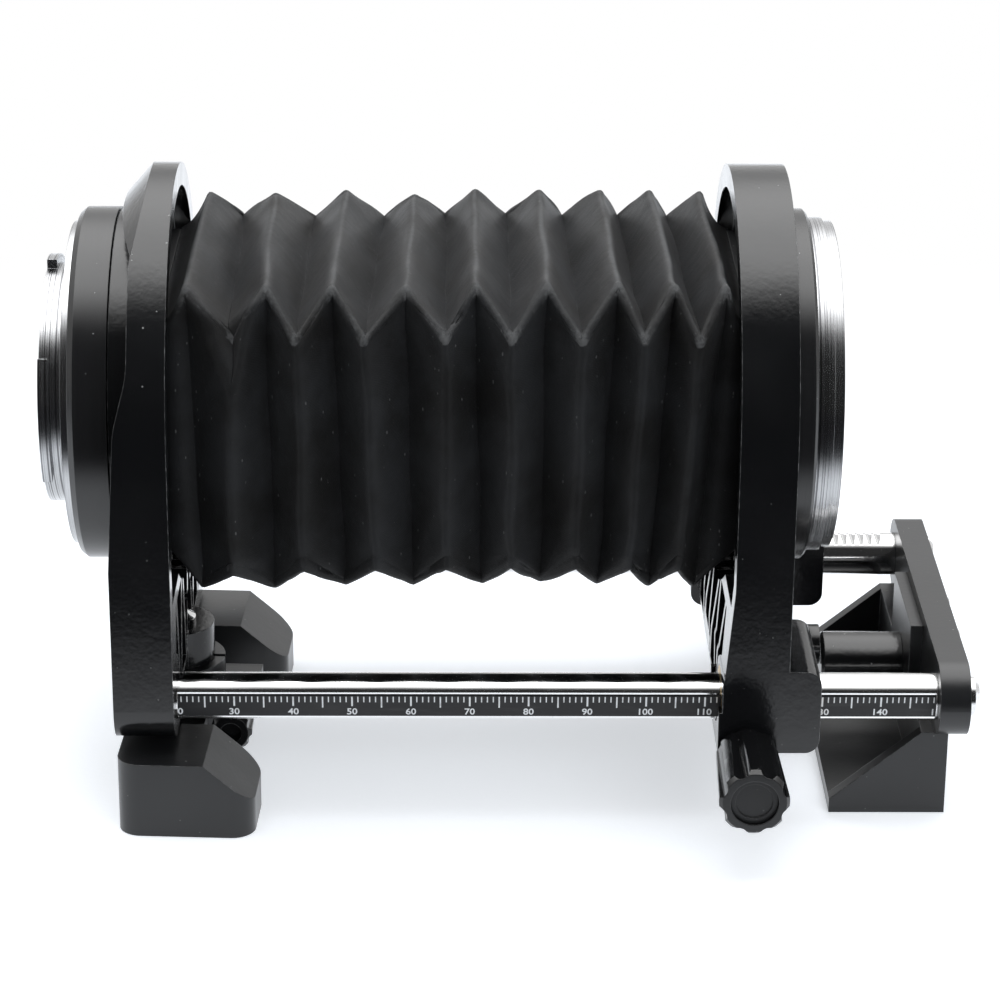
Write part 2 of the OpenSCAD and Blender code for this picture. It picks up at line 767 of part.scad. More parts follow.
module camera_bayonet() color([0.82, 0.83, 0.85]) {
    lug_x0 = cam_face - collar_len;
    difference() {
        union() {
            x_rod(cam_flange_r, cam_face, cam_ring_x0, z = axis_z);
            x_rod(collar_r, lug_x0, cam_face + eps, z = axis_z);
            along_x(lug_x0, lug_x0 + lug_t) intersection() {
                translate([0, axis_z]) circle(lug_r);
                for (a = [30, 150, 270]) sector(lug_r, a, lug_arc);
            }
        }
        x_rod(cam_bore_r, lug_x0 - over, cam_ring_x0 + over, z = axis_z);
        ring_screw_holes(cam_face, -1, cam_screw_len);
    }
}

module camera_bayonet_screws() color([0.75, 0.76, 0.78]) ring_screws(cam_face, -1, cam_screw_len);

module camera_retaining_ring() color([0.2, 0.2, 0.22]) {
    difference() {
        x_rod(keep_r, keep_x0, keep_x1, z = axis_z);
        x_rod(cam_bore_r + 0.6, keep_x0 - over, keep_x1 + over, z = axis_z);
    }
}

// ---------------------------------------------------------------- lens mount

module release_pin_hole(r) {
    translate([0, 0, axis_z]) rotate([release_angle, 0, 0])
        x_rod(r, release_x0 - 1, lens_face + 2, release_pin_at, 0);
}

module lens_ring() color([0.08, 0.08, 0.09]) {
    difference() {
        union() {
            x_rod(lens_ring_r, front_out + ring_groove, lens_ring_x1 - 0.5, z = axis_z);
            x_rod(lens_ring_r - 1, front_out, lens_ring_x1, z = axis_z);
            translate([lens_ring_x1 - 0.5, 0, axis_z]) rotate([0, 90, 0])
                cylinder(r1 = lens_ring_r, r2 = lens_ring_r - 0.5, h = 0.5);
        }
        x_rod(front_window_r, front_out - 1, lens_ring_x1 + 1, z = axis_z);
        x_rod(spring_ring_r, lens_ring_x1 - spring_ring_t, lens_ring_x1 + 1, z = axis_z);
        release_pin_hole(release_pin_r + run_clear);
        ring_screw_holes(lens_face, 1, lens_screw_len, turn = lens_screw_turn);
    }
}

module lens_bayonet() color([0.82, 0.83, 0.85]) {
    step = lens_ring_x1 + 0.62 * lens_flange_t;
    claw_x1 = lens_face - 0.4;
    difference() {
        union() {
            x_rod(lens_flange_r, lens_ring_x1, step, z = axis_z);
            x_rod(lens_flange_r - 0.6, step, lens_face, z = axis_z);
        }
        x_rod(throat_r, lens_ring_x1 - over, lens_face + over, z = axis_z);
        release_pin_hole(release_pin_r + run_clear);
        ring_screw_holes(lens_face, 1, lens_screw_len, turn = lens_screw_turn);
    }
    along_x(claw_x1 - claw_t, claw_x1) difference() {
        intersection() {
            translate([0, axis_z]) circle(throat_r + 0.2);
            for (a = [0, 120, 240]) sector(throat_r, a, claw_arc);
        }
        translate([0, axis_z]) circle(claw_r);
    }
}

module lens_bayonet_screws() color([0.75, 0.76, 0.78])
    ring_screws(lens_face, 1, lens_screw_len, turn = lens_screw_turn);

module lens_spring_ring() color([0.6, 0.6, 0.62]) {
    difference() {
        x_rod(spring_ring_r, lens_ring_x1 - spring_ring_t, lens_ring_x1, z = axis_z);
        x_rod(front_window_r + 0.4, lens_ring_x1 - 2, lens_ring_x1 + 1, z = axis_z);
    }
}

module lens_release() color([0.3, 0.3, 0.32]) {
    translate([0, 0, axis_z]) rotate([release_angle, 0, 0]) {
        block(release_x0, release_x0 + release_arm_t, release_pin_at, release_button_at,
              -release_arm_w / 2, release_arm_w / 2);
        x_rod(release_arm_w / 2, release_x0, release_x0 + release_arm_t, release_pin_at, 0);
        x_rod(release_pin_r, release_x0, lens_face + 1, release_pin_at, 0);
        x_rod(release_button_r, release_x0, front_out + 2.2, release_button_at, 0);
        translate([front_out + 2.2, release_button_at, 0]) rotate([0, 90, 0])
            cylinder(r1 = release_button_r, r2 = release_button_r - 0.6, h = 0.6);
    }
}

// ---------------------------------------------------------------- focus drive

// A tooth flank: points of the circle's involute between root and tip
function involute(base, r) = sqrt(pow(r / base, 2) - 1) * 180 / PI - acos(base / r);

function gear_flank(side) = let(
    base = pinion_r * cos(pressure), root = base + 0.02, tip = pinion_r + rack_module,
    half = 90 / pinion_teeth - tooth_slack / pinion_r * 45 / PI + involute(base, pinion_r))
    [for (i = [0 : 5]) let(r = root + (tip - root) * i / 5, a = side * (half - involute(base, r)))
        [r, a]];

module pinion_outline() {
    root = pinion_r - rack_root;
    polygon([for (k = [0 : pinion_teeth - 1]) let(
        mid = k * 360 / pinion_teeth, left = gear_flank(-1), right = gear_flank(1),
        path = concat([[root, left[0][1]]], left, [for (i = [5 : -1 : 0]) right[i]],
                      [[root, right[0][1]]]))
        for (p = path) [p[0] * cos(mid + p[1]), p[0] * sin(mid + p[1])]]);
}

module pinion_shaft() color([0.7, 0.7, 0.72]) {
    half = pinion_w / 2;
    y_rod(shaft_r, house_y0 + shaft_seat + face_gap, focus_knob_y0 + focus_knob_len - knob_crown,
          pinion_x, pinion_z);
    // one tooth points straight down, into a gap of the rack
    translate([pinion_x, rail_y + half, pinion_z]) rotate([90, 90, 0])
        linear_extrude(height = pinion_w) pinion_outline();
}

module pinion_bush() color([0.72, 0.55, 0.25]) {
    difference() {
        union() {
            y_rod(bush_seat_r, rail_y + pinion_w / 2 + face_gap, arch_r, pinion_x, pinion_z);
            y_rod(bush_seat_r + 1.4, arch_r, arch_r + bush_flange, pinion_x, pinion_z);
        }
        y_rod(shaft_r + run_clear, rail_y, arch_r + bush_flange + 1, pinion_x, pinion_z);
    }
}

// A knob along Z from its inner end: a neck, then a fluted grip that swells
// towards its outer end, with a sunk face
module knob(r, len, bore, bore_len, lobes, cap_r) {
    neck = 1.4;
    edge = 0.8;
    difference() {
        union() {
            cylinder(r = 0.75 * r, h = neck + over);
            translate([0, 0, neck]) cylinder(r1 = 0.9 * r, r2 = r, h = len - neck - edge);
            translate([0, 0, len - edge]) cylinder(r1 = r, r2 = r - 0.75 * edge, h = edge);
        }
        for (i = [0 : lobes - 1]) rotate([0, 0, (i + 0.5) * 360 / lobes])
            translate([1.15 * r, 0, neck - 0.3]) cylinder(r = 0.3 * r, h = len);
        translate([0, 0, -over]) cylinder(r = bore, h = bore_len + over);
        translate([0, 0, len - cap_sunk]) cylinder(r = cap_r, h = cap_sunk + over);
    }
}

module focus_knob() color([0.1, 0.1, 0.11])
    translate([pinion_x, focus_knob_y0, pinion_z]) rotate([-90, 0, 0])
        knob(focus_knob_r, focus_knob_len, shaft_r, focus_knob_len - knob_crown, 10, focus_cap_r);

module knob_cap(r) {
    difference() {
        cylinder(r = r, h = 0.8);
        translate([0, 0, 0.5]) cylinder(r = r - 0.9, h = 1);
    }
}

module focus_knob_cap() color([0.05, 0.05, 0.06])
    translate([pinion_x, focus_knob_y0 + focus_knob_len - cap_sunk, pinion_z]) rotate([-90, 0, 0])
        knob_cap(focus_cap_r);

// ---------------------------------------------------------------- lock

module lock_screw() color([0.7, 0.7, 0.72]) {
    neck0 = -rail_y - 2.3;
    neck1 = -rail_y + 2.3;
    y_rod(lock_screw_r, lock_knob_y1 - lock_knob_len + knob_crown, neck0, lock_x, lock_z);
    y_rod(lock_neck_r, neck0, neck1, lock_x, lock_z);
    y_rod(lock_screw_r, neck1, -arch_r + lock_in - face_gap, lock_x, lock_z);
}

module lock_knob() color([0.1, 0.1, 0.11])
    translate([lock_x, lock_knob_y1, lock_z]) rotate([90, 0, 0])
        knob(lock_knob_r, lock_knob_len, lock_screw_r, lock_knob_len - knob_crown, 8, lock_cap_r);

module lock_knob_cap() color([0.05, 0.05, 0.06])
    translate([lock_x, lock_knob_y1 - lock_knob_len + cap_sunk, lock_z]) rotate([90, 0, 0])
        knob_cap(lock_cap_r);

module lock_pad() color([0.72, 0.55, 0.25])
    z_rod(pad_r, lock_z + lock_neck_r + run_clear, rail_z - rail_r - run_clear, lock_x, -rail_y);

// ---------------------------------------------------------------- end bracket

module end_bar() color([0.07, 0.07, 0.08]) {
    difference() {
        along_x(bar_x0, bar_x1)
            rounded(-rail_y - bar_r, rail_y + bar_r, rail_z - bar_r, rail_z + bar_r, bar_r - eps);
        for (s = [-1, 1]) {
            x_rod(bar_screw_r, bar_x0 - over, bar_x1 + over, s * rail_y, rail_z);
            x_rod(foot_screw_r, bar_x0 - over, bar_x1 + over, s * foot_screw_y, rail_z);
        }
    }
}

module cap_screw(head, shank, length) {
    // head on the outside of the end bar, with a hexagon socket
    difference() {
        union() {
            cylinder(r = head, h = 1.2);
            translate([0, 0, 1.2]) cylinder(r1 = head, r2 = head - 0.9, h = 0.8);
        }
        translate([0, 0, 0.9]) cylinder(r = 0.5 * head, h = 2, $fn = 6);
    }
    translate([0, 0, -length]) cylinder(r = shank, h = length);
}

module end_bar_screws() color([0.8, 0.81, 0.83]) {
    for (s = [-1, 1]) translate([bar_x1, s * rail_y, rail_z]) rotate([0, 90, 0])
        cap_screw(bar_head_r, bar_screw_r, bar_t + bar_screw_bite);
}

module end_foot_screws() color([0.8, 0.81, 0.83]) {
    for (s = [-1, 1]) translate([bar_x1, s * foot_screw_y, rail_z]) rotate([0, 90, 0])
        cap_screw(foot_head_r, foot_screw_r, bar_t + bar_x0 - wall_x0 - foot_screw_skin);
}

module end_foot() color([0.09, 0.09, 0.1]) {
    difference() {
        union() {
            block(foot_x0, wall_x1, -foot_half, foot_half, 0, foot_plate_t);
            block(wall_x0, wall_x1, -foot_half, foot_half, 0, wall_top);
            block(wall_x0, bar_x0, -tab_half, tab_half, wall_top - 1, wall_top + tab_rise);
            for (y0 = [-foot_half, foot_half - gusset_t])
                along_y(y0, y0 + gusset_t) polygon([
                    [foot_x0, foot_plate_t - eps], [wall_x0 + eps, foot_plate_t - eps],
                    [wall_x0 + eps, wall_top]]);
        }
        for (s = [-1, 1])
            x_rod(foot_screw_r, wall_x0 + foot_screw_skin, bar_x0 + over, s * foot_screw_y,
                  rail_z);
    }
}

module stop_post() color([0.09, 0.09, 0.1]) {
    x_rod(stop_r, stop_x0 + 0.6, wall_x0, 0, stop_z);
    translate([stop_x0, 0, stop_z]) rotate([0, 90, 0])
        cylinder(r1 = stop_r - 0.6, r2 = stop_r, h = 0.6);
}

// ---------------------------------------------------------------- tripod base

module swivel_post() color([0.6, 0.6, 0.62]) {
    difference() {
        union() {
            z_rod(post_flange_r, post_flange_z, post_flange_z + post_flange_t);
            z_rod(post_r, post_flange_z, boss_z0);
        }
        z_rod(swivel_screw_r, post_flange_z + 2.4, boss_z0 + 1);
    }
}

module swivel_screw() color([0.8, 0.81, 0.83]) {
    z_rod(swivel_screw_r, post_flange_z + 2.5, boss_top);
    difference() {
        union() {
            z_rod(swivel_head_r, boss_top, boss_top + 0.9);
            translate([0, 0, boss_top + 0.9])
                cylinder(r1 = swivel_head_r, r2 = swivel_head_r - 1.5, h = 1);
        }
        for (a = [0, 90]) rotate([0, 0, a + 20])
            translate([-2, -0.35, boss_top + 0.8]) cube([4, 0.7, 2]);
    }
}

module base_foot(y0, y1) {
    difference() {
        linear_extrude(height = foot_h)
            rounded(base_x0, base_x0 + base_len, y0, y1, foot_edge_r);
        along_y(y0 - 1, y1 + 1) polygon([
            [slope_x, foot_h],
            [base_x0 + base_len + 1, foot_h - slope_drop * (slope_run + 1) / slope_run],
            [base_x0 + base_len + 1, foot_h + 1], [slope_x, foot_h + 1]]);
    }
}

module tripod_base() color([0.09, 0.09, 0.1]) rotate([0, 0, base_turn]) {
    difference() {
        union() {
            base_foot(-front_reach, -front_reach + base_foot_w);
            base_foot(rear_reach - base_foot_w, rear_reach);
            block(-beam_half, beam_half, -front_reach + base_foot_w - 2,
                  rear_reach - base_foot_w + 2, 0, beam_h);
            z_rod(hub_r, 0, hub_h);
            block(hub_r - 2.4, ear_x1, -ear_half, ear_half, ear_z0, ear_z1);
        }
        z_rod(post_flange_r + run_clear, -1, post_flange_z + post_flange_t + face_gap);
        z_rod(post_r + run_clear, 0, hub_h + 1);
        block(post_r - 1, ear_x1 + 1, -slit / 2, slit / 2, ear_z0 - 1, hub_h + 1);
        y_rod(clamp_screw_r + run_clear, -ear_half - 1, ear_half + 1, clamp_x, clamp_z);
    }
}

module tripod_thread_insert() color([0.6, 0.6, 0.62]) {
    difference() {
        z_rod(post_flange_r + run_clear, 0, tripod_len);
        z_rod(tripod_r, -1, tripod_len + 1);
    }
}

module clamp_screw() color([0.7, 0.7, 0.72]) rotate([0, 0, base_turn])
    y_rod(clamp_screw_r, -ear_half - clamp_knob_gap - clamp_knob_bore, ear_half + over,
          clamp_x, clamp_z);

module clamp_knob() color([0.1, 0.1, 0.11]) rotate([0, 0, base_turn])
    translate([clamp_x, -ear_half - clamp_knob_gap, clamp_z]) rotate([90, 0, 0])
        knob(clamp_knob_r, clamp_knob_len, clamp_screw_r, clamp_knob_bore, 8, clamp_knob_r / 2);

rear_standard();
front_standard();
front_rail();
rack_rail();
scale_strip();
end_bar();
end_bar_screws();
end_foot();
end_foot_screws();
stop_post();
rail_grub_screws();
bellows();
rear_bellows_frame();
front_bellows_frame();
camera_ring();
camera_bayonet();
camera_bayonet_screws();
camera_retaining_ring();
lens_ring();
lens_bayonet();
lens_bayonet_screws();
lens_spring_ring();
lens_release();
front_rail_bushes();
rack_rail_bushes();
pinion_shaft();
pinion_bush();
focus_knob();
focus_knob_cap();
lock_screw();
lock_knob();
lock_knob_cap();
lock_pad();
swivel_post();
swivel_screw();
tripod_base();
tripod_thread_insert();
clamp_screw();
clamp_knob();
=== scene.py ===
"""Dresses a macro bellows unit: pleated cloth, scale marks, finishes and a plain pale studio.

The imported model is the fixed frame. Its origin is the mouth of the tripod thread, +X runs along
the rails towards the lens, +Z is up, and the side with the scale faces -Y. Lengths are in metres.
"""

import math

import bpy
import numpy as np
from mathutils import Matrix, Vector


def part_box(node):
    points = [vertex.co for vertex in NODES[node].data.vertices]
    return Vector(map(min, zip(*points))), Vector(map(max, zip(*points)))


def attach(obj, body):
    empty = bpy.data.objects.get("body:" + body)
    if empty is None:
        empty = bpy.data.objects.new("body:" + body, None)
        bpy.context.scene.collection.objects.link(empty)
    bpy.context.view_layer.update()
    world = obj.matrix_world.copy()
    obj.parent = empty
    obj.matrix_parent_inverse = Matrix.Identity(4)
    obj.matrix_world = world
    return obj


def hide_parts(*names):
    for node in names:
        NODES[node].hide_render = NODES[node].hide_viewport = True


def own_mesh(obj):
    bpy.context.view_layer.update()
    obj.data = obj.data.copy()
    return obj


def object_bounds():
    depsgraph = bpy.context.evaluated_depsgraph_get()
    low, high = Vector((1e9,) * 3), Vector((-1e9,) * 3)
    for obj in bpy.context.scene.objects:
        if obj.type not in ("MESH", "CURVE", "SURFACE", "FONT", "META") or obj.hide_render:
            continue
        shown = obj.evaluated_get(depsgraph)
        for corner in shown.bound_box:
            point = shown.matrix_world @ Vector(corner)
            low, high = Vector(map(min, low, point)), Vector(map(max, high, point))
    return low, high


bl_info = {
    "name": "Macro Bellows Dressing",
    "version": (1, 0, 0),
    "blender": (4, 5, 0),
    "location": "3D View > Sidebar > Bellows",
    "description": "Pleated cloth, scale marks, finishes and studio for a macro bellows unit",
    "category": "Object",
}

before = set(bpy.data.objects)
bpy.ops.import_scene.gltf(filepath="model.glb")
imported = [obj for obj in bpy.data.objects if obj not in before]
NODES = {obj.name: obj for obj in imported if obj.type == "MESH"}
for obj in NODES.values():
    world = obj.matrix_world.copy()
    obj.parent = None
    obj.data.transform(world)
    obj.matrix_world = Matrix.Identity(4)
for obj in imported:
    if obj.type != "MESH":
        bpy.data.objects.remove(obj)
CAD_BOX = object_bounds()

BELLOWS_LOW, BELLOWS_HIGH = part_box("bellows")
STRIP_LOW, STRIP_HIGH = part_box("scale_strip")
RAIL_LOW, RAIL_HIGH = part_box("front_rail")
AXIS_Z = (BELLOWS_LOW.z + BELLOWS_HIGH.z) / 2
RAIL_Y = (RAIL_LOW.y + RAIL_HIGH.y) / 2
RAIL_Z = (RAIL_LOW.z + RAIL_HIGH.z) / 2

# Where the scale's zero lies on X, and which of its millimetres have a whole numeral
SCALE_ZERO = -0.0175
FIRST_NUMERAL = 30
NUMERAL_EVERY = 10

# The folds from the rear end: distance of each from that end, how far its near edge leans
# ahead of its far edge and its top ahead of its bottom, and how much further it stands out
# at the top and at the bottom, in millimetres. The folds were never pressed evenly.
FOLDS = np.array([
    [0.0, 0.0, 0.0, 0.0, 0.0],
    [5.8, -1.1, -1.9, -0.3, 0.9],
    [11.4, 0.7, -0.4, 0.2, 1.2],
    [17.7, 0.9, -0.7, -0.4, 0.6],
    [23.6, -0.8, -1.0, -0.3, 0.2],
    [30.0, -1.2, -1.9, 0.1, 0.3],
    [35.9, -2.0, -2.2, -0.2, -0.1],
    [41.7, -1.1, -1.0, -0.5, 0.1],
    [47.3, 0.5, 0.0, 0.4, -0.3],
    [52.8, 0.1, -1.0, 0.4, 0.0],
    [58.1, 0.1, 0.0, 0.2, -0.5],
    [63.5, 0.5, 0.7, 0.3, -0.4],
    [68.6, 1.8, 0.8, 0.1, -0.3],
    [73.8, 1.3, 2.5, 0.4, 0.0],
    [78.1, 2.1, 2.2, 0.1, -0.4],
    [82.6, 1.7, 3.1, 0.3, 0.2],
    [86.8, 2.1, 2.9, -0.2, -0.3],
    [90.8, 1.5, 4.0, 0.2, 0.4],
    [97.3, 0.0, 0.0, 0.0, 0.0],
])

# The cloth's grid: steps from fold to fold, and points along a side and round a corner
FOLD_STEPS = 12
SIDE_POINTS = 30
CORNER_POINTS = 5

# Radius of the cloth's section at its four corners, and width of the rubbed grey and painted
# highlight along them
CORNER_RADIUS = 0.0005
RUB_AND_HIGHLIGHT_WIDTH = 0.00055

# How firm a fold is in the middle of a side, and how much firmer it gets towards a corner
MIDDLE_FIRMNESS = 0.975
CORNER_FIRMNESS = 0.0238

# Seed and range of each fold's bow. The ripples outwards and along X have their heights, and
# their seed, number of waves, fastest pace along the cloth and most turns round it. Near both
# ends, where it is glued, the cloth stays still over this part of a fold.
BOW_SEED = 41
BOW_RANGE = (-1.2, 0.6)
OUTWARD_RIPPLE = 0.00015
OUTWARD_WAVES = (7, 26, 2.4, 30)
FORWARD_RIPPLE = 0.00020
FORWARD_WAVES = (19, 18, 1.2, 14)
STILL = 0.3

# Fold at which the corner is pushed in, how many folds the dent reaches to either side, and
# the share of its depth by which it also moves along X
DENT_FOLD = 2.0
DENT_REACH = 1.1
DENT_SLIDE = 0.25

# Fold height from which a fold is rubbed grey and given a painted highlight, how much at most, and
# how much of both the underside's corners get beside those on top, where the painted highlight is
# stronger
# these set where the cloth is paler: rubbed grey and a painted highlight on the folds' lit edges
RUB_AND_HIGHLIGHT_FROM = 0.95
RIDGE_RUB_AND_HIGHLIGHT = 0.85
UNDERSIDE_RUB_AND_HIGHLIGHT = 0.35

# Marks at the tens, at the fives and at the rest: their lengths, and their widths in line
# widths. They end this far from the strip's upper edge.
MARK_LENGTHS = (0.0019, 0.0022, 0.00112)
MARK_WIDTHS = (1.5, 1.25, 1.0)
MARK_MARGIN = 0.00008

# How far the print stands proud of the strip, and how the numerals are set and widened
INK = 0.00002
NUMERAL_DROP = 0.00106
NUMERAL_WIDENING = 1.06

# Outline of the numerals at a height of 1: how much bolder and how thick it is made
NUMERAL_BOLDER = 0.018
NUMERAL_THICK = 0.02

# Digits beside the strip's two ends, where the rest of their numeral is cut off: each with
# its middle along X
CUT_NUMERALS = (("0", STRIP_LOW.x + 0.00042), ("1", STRIP_HIGH.x - 0.0005))

# The studio: the unit's middle on X, half the side of the floor, where its paper begins and ends to
# turn white, from which Y to which the floor shows a painted dark reflection, and the lamps
MIDDLE_X = 0.06
FLOOR = 6
SWEEP_RADII = (0.09, 0.30)
PAINTED_DARK_REFLECTION_Y = (-0.06, -0.135)
LAMP_AIM = (0.055, 0.0, 0.04)
LAMP_COLOUR = (0.90, 0.95, 1.0)


# ------------------------------------------------------------------ settings


def number(name, description, default, **kind):
    """A setting that is one number."""
    return bpy.props.FloatProperty(name=name, description=description, default=default, **kind)


def metres(name, description, default):
    """A setting in metres."""
    return number(name, description, default, unit="LENGTH")


def degrees(name, description, size):
    """A setting that is an angle, given here in degrees."""
    return number(name, description, math.radians(size), subtype="ANGLE")


def tint(name, description, default):
    """A setting that is a colour."""
    return bpy.props.FloatVectorProperty(
        name=name,
        description=description,
        default=default,
        subtype="COLOR",
        size=3,
    )


class ClothSettings(bpy.types.PropertyGroup):
    """Sizes and colours of the pleated cloth."""

    depth: metres("Fold depth", "How far an outer fold stands out beyond an inner one", 0.0066)
    end_width: metres(
        "End half width", "Half the width of the cloth where it is glued into its frames", 0.02504
    )
    end_height: metres(
        "End half height", "Half the height of the cloth where it is glued into its frames", 0.01975
    )
    thickness: metres("Cloth thickness", "Thickness of the laminated cloth", 0.0006)
    hem: metres("Hem", "Length of the straight hem glued to the front frame", 0.0014)
    hem_width: metres(
        "Hem half width", "Half the width of the hem, which fits inside the last fold", 0.0234
    )
    hem_height: metres(
        "Hem half height", "Half the height of the hem, which fits inside the last fold", 0.0189
    )
    hem_thickness: metres("Hem thickness", "Thickness of the hem", 0.0005)
    sag: number(
        "Lazy underside",
        "Share of the fold depth that the inner folds reach on the underside",
        0.78,
    )
    unevenness: metres("Unevenness", "How far the cloth strays from flat panels", 0.0004)
    dent: metres("Dent", "Depth of the pushed-in corner by the first inner fold", 0.0044)
    dent_tilt: degrees("Dent tilt", "Angle by which the pushed-in corner looks up", 27)
    colour: tint("Cloth colour", "Colour of the clean cloth", (0.017, 0.0175, 0.0185))
    # colour of the rubbed folds and corners, which also serves as their painted highlight
    worn_colour: tint(
        "Worn colour", "Colour of the cloth along its rubbed folds", (0.085, 0.085, 0.085)
    )


class FinishSettings(bpy.types.PropertyGroup):
    """Colours of paints, plastics and metals."""

    enamel: tint("Enamel", "Gloss black enamel of the two standards", (0.0045, 0.0047, 0.0052))
    satin: tint(
        "Satin paint",
        "Satin black paint on the foot, the bar and the tripod base",
        (0.0075, 0.0078, 0.0085),
    )
    anodised: tint("Black rings", "Black finish of the turned rings", (0.008, 0.008, 0.0085))
    plastic: tint("Knob plastic", "Black plastic of the fluted knobs", (0.007, 0.007, 0.0075))
    cap: tint("Cap plastic", "Matt black plastic of the knobs' caps", (0.012, 0.012, 0.0125))
    chrome: tint("Bright chrome", "Polished chrome of the rails", (0.80, 0.80, 0.80))
    satin_chrome: tint(
        "Satin chrome", "Turned satin chrome of the lens and camera mounts", (0.46, 0.465, 0.475)
    )
    steel: tint("Steel", "Plain steel of screws, springs and shafts", (0.60, 0.595, 0.585))
    brass: tint("Brass", "Brass of the bushes, the pad and the insert", (0.72, 0.52, 0.24))
    edge_radius: metres("Edge radius", "Radius that the light sees on painted edges", 0.00022)


class ScaleSettings(bpy.types.PropertyGroup):
    """Sizes and colours of the millimetre scale."""

    first: bpy.props.IntProperty(
        name="First mark", description="First millimetre that has a mark", default=21
    )
    last: bpy.props.IntProperty(
        name="Last mark", description="Last millimetre that has a mark", default=149
    )
    tilt: degrees("Tilt", "Angle by which the scale looks down", 8)
    off_centre: metres(
        "Distance from the rail's axis",
        "How far the face of the scale lies from the axis of its rail",
        0.00342,
    )
    width: metres("Strip width", "Width of the black strip", 0.004)
    line: metres("Line width", "Width of one mark", 0.0002)
    numeral: metres("Numeral height", "Height of the numerals", 0.00128)
    colour: tint("Mark colour", "Colour of marks and numerals", (0.72, 0.73, 0.74))
    strip: tint("Strip colour", "Matt black of the strip", (0.006, 0.006, 0.007))


class StageSettings(bpy.types.PropertyGroup):
    """Camera, floor and light."""

    eye: bpy.props.FloatVectorProperty(
        name="Camera place",
        description="Where the camera stands",
        subtype="TRANSLATION",
        unit="LENGTH",
        size=3,
        default=(0.04983, -0.56858, 0.27616),
    )
    pitch: degrees("Camera pitch", "Angle by which the camera looks down", 22.11)
    yaw: degrees("Camera yaw", "Angle by which the camera is turned to the left", -0.81)
    roll: degrees("Camera roll", "Angle by which the camera is tipped", 0.43)
    lens: number("Focal length", "Focal length of the camera in millimetres", 125.03)
    floor: tint("Floor colour", "Colour of the paper under the unit", (0.80, 0.805, 0.82))
    top_power: number("Top light", "Power of the large soft light overhead", 13.0, unit="POWER")
    fill_power: number(
        "Fill light", "Power of the soft light in front, on the lens side", 7.0, unit="POWER"
    )


# ------------------------------------------------------------------ node trees


class Net:
    """One shader tree, with a short call for each kind of node that the finishes use."""

    def __init__(self, tree):
        self.tree = tree

    def plug(self, made, inputs):
        """Sets a node's inputs. Each is a value, or another node's output, which is linked."""
        for name, value in inputs.items():
            if isinstance(value, bpy.types.NodeSocket):
                self.tree.links.new(value, made.inputs[name])
            else:
                made.inputs[name].default_value = value

    def node(self, kind, inputs=None, **settings):
        """Adds a node with its settings and inputs."""
        made = self.tree.nodes.new(kind)
        for name, value in settings.items():
            setattr(made, name, value)
        self.plug(made, inputs or {})
        return made

    def first(self, kind, inputs, **settings):
        """Adds a node and gives its first output."""
        return self.node(kind, inputs, **settings).outputs[0]

    def math(self, operation, *values, clamp=False):
        """Arithmetic on one to three values."""
        inputs = dict(enumerate(values))
        return self.first("ShaderNodeMath", inputs, operation=operation, use_clamp=clamp)

    def times(self, first, second, clamp=False):
        """The product of two values."""
        return self.math("MULTIPLY", first, second, clamp=clamp)

    def distance(self, first, second):
        """The root of the sum of two squares."""
        squares = self.math("ADD", self.times(first, first), self.times(second, second))
        return self.math("SQRT", squares)

    def step(self, value, low, high, out_low=0.0, out_high=1.0):
        """Rises smoothly from out_low at low to out_high at high."""
        inputs = {0: value, 1: low, 2: high, 3: out_low, 4: out_high}
        return self.first("ShaderNodeMapRange", inputs, interpolation_type="SMOOTHSTEP")

    def mix(self, factor, first, second):
        """Goes from one colour to another as factor goes from 0 to 1."""
        inputs = {0: factor, 6: first, 7: second}
        return self.node("ShaderNodeMix", inputs, data_type="RGBA").outputs[2]

    def cover(self, base, mask, share, colour):
        """Lays a colour over a base: as much as the share says where the mask is 1."""
        return self.mix(self.times(mask, share), base, colour)

    def between(self, factor, first, second):
        """Goes from one number to another as factor goes from 0 to 1."""
        inputs = {0: factor, 2: first, 3: second}
        return self.first("ShaderNodeMix", inputs, data_type="FLOAT")

    def noise(self, vector, scale, detail=2.0, roughness=0.5):
        """Soft noise from 0 to 1."""
        inputs = {"Vector": vector, "Scale": scale, "Detail": detail, "Roughness": roughness}
        return self.first("ShaderNodeTexNoise", inputs)

    def grain(self, value, detail=2.0):
        """Noise along a single number, for rings and strokes."""
        inputs = {"W": value, "Scale": 1.0, "Detail": detail}
        return self.first("ShaderNodeTexNoise", inputs, noise_dimensions="1D")

    def place(self):
        """Place on the piece, in metres."""
        return self.node("ShaderNodeTexCoord").outputs["Object"]

    def scaled(self, vector, x, y, z):
        """Stretches a pattern: a larger factor makes it finer along that axis."""
        return self.first("ShaderNodeMapping", {"Vector": vector, "Scale": (x, y, z)})

    def parts(self, vector):
        """The three numbers of a vector."""
        return self.node("ShaderNodeSeparateXYZ", {0: vector}).outputs

    def bump(self, height, distance, strength=1.0, normal=None):
        """Turns a height of 0 to 1, times distance in metres, into a normal."""
        inputs = {"Height": height, "Distance": distance, "Strength": strength}
        if normal is not None:
            inputs["Normal"] = normal
        return self.first("ShaderNodeBump", inputs)

    def glow(self, colour, strength):
        """A shader that gives light of its own."""
        return self.first("ShaderNodeEmission", {"Color": colour, "Strength": strength})

    def seen(self, rays):
        """1 for what the camera sees, straight or through glass."""
        return self.math("ADD", rays["Is Camera Ray"], rays["Is Transmission Ray"], clamp=True)

    def group(self, tree, inputs):
        """Places a shared group and returns its outputs."""
        return self.node("ShaderNodeGroup", inputs, node_tree=tree).outputs


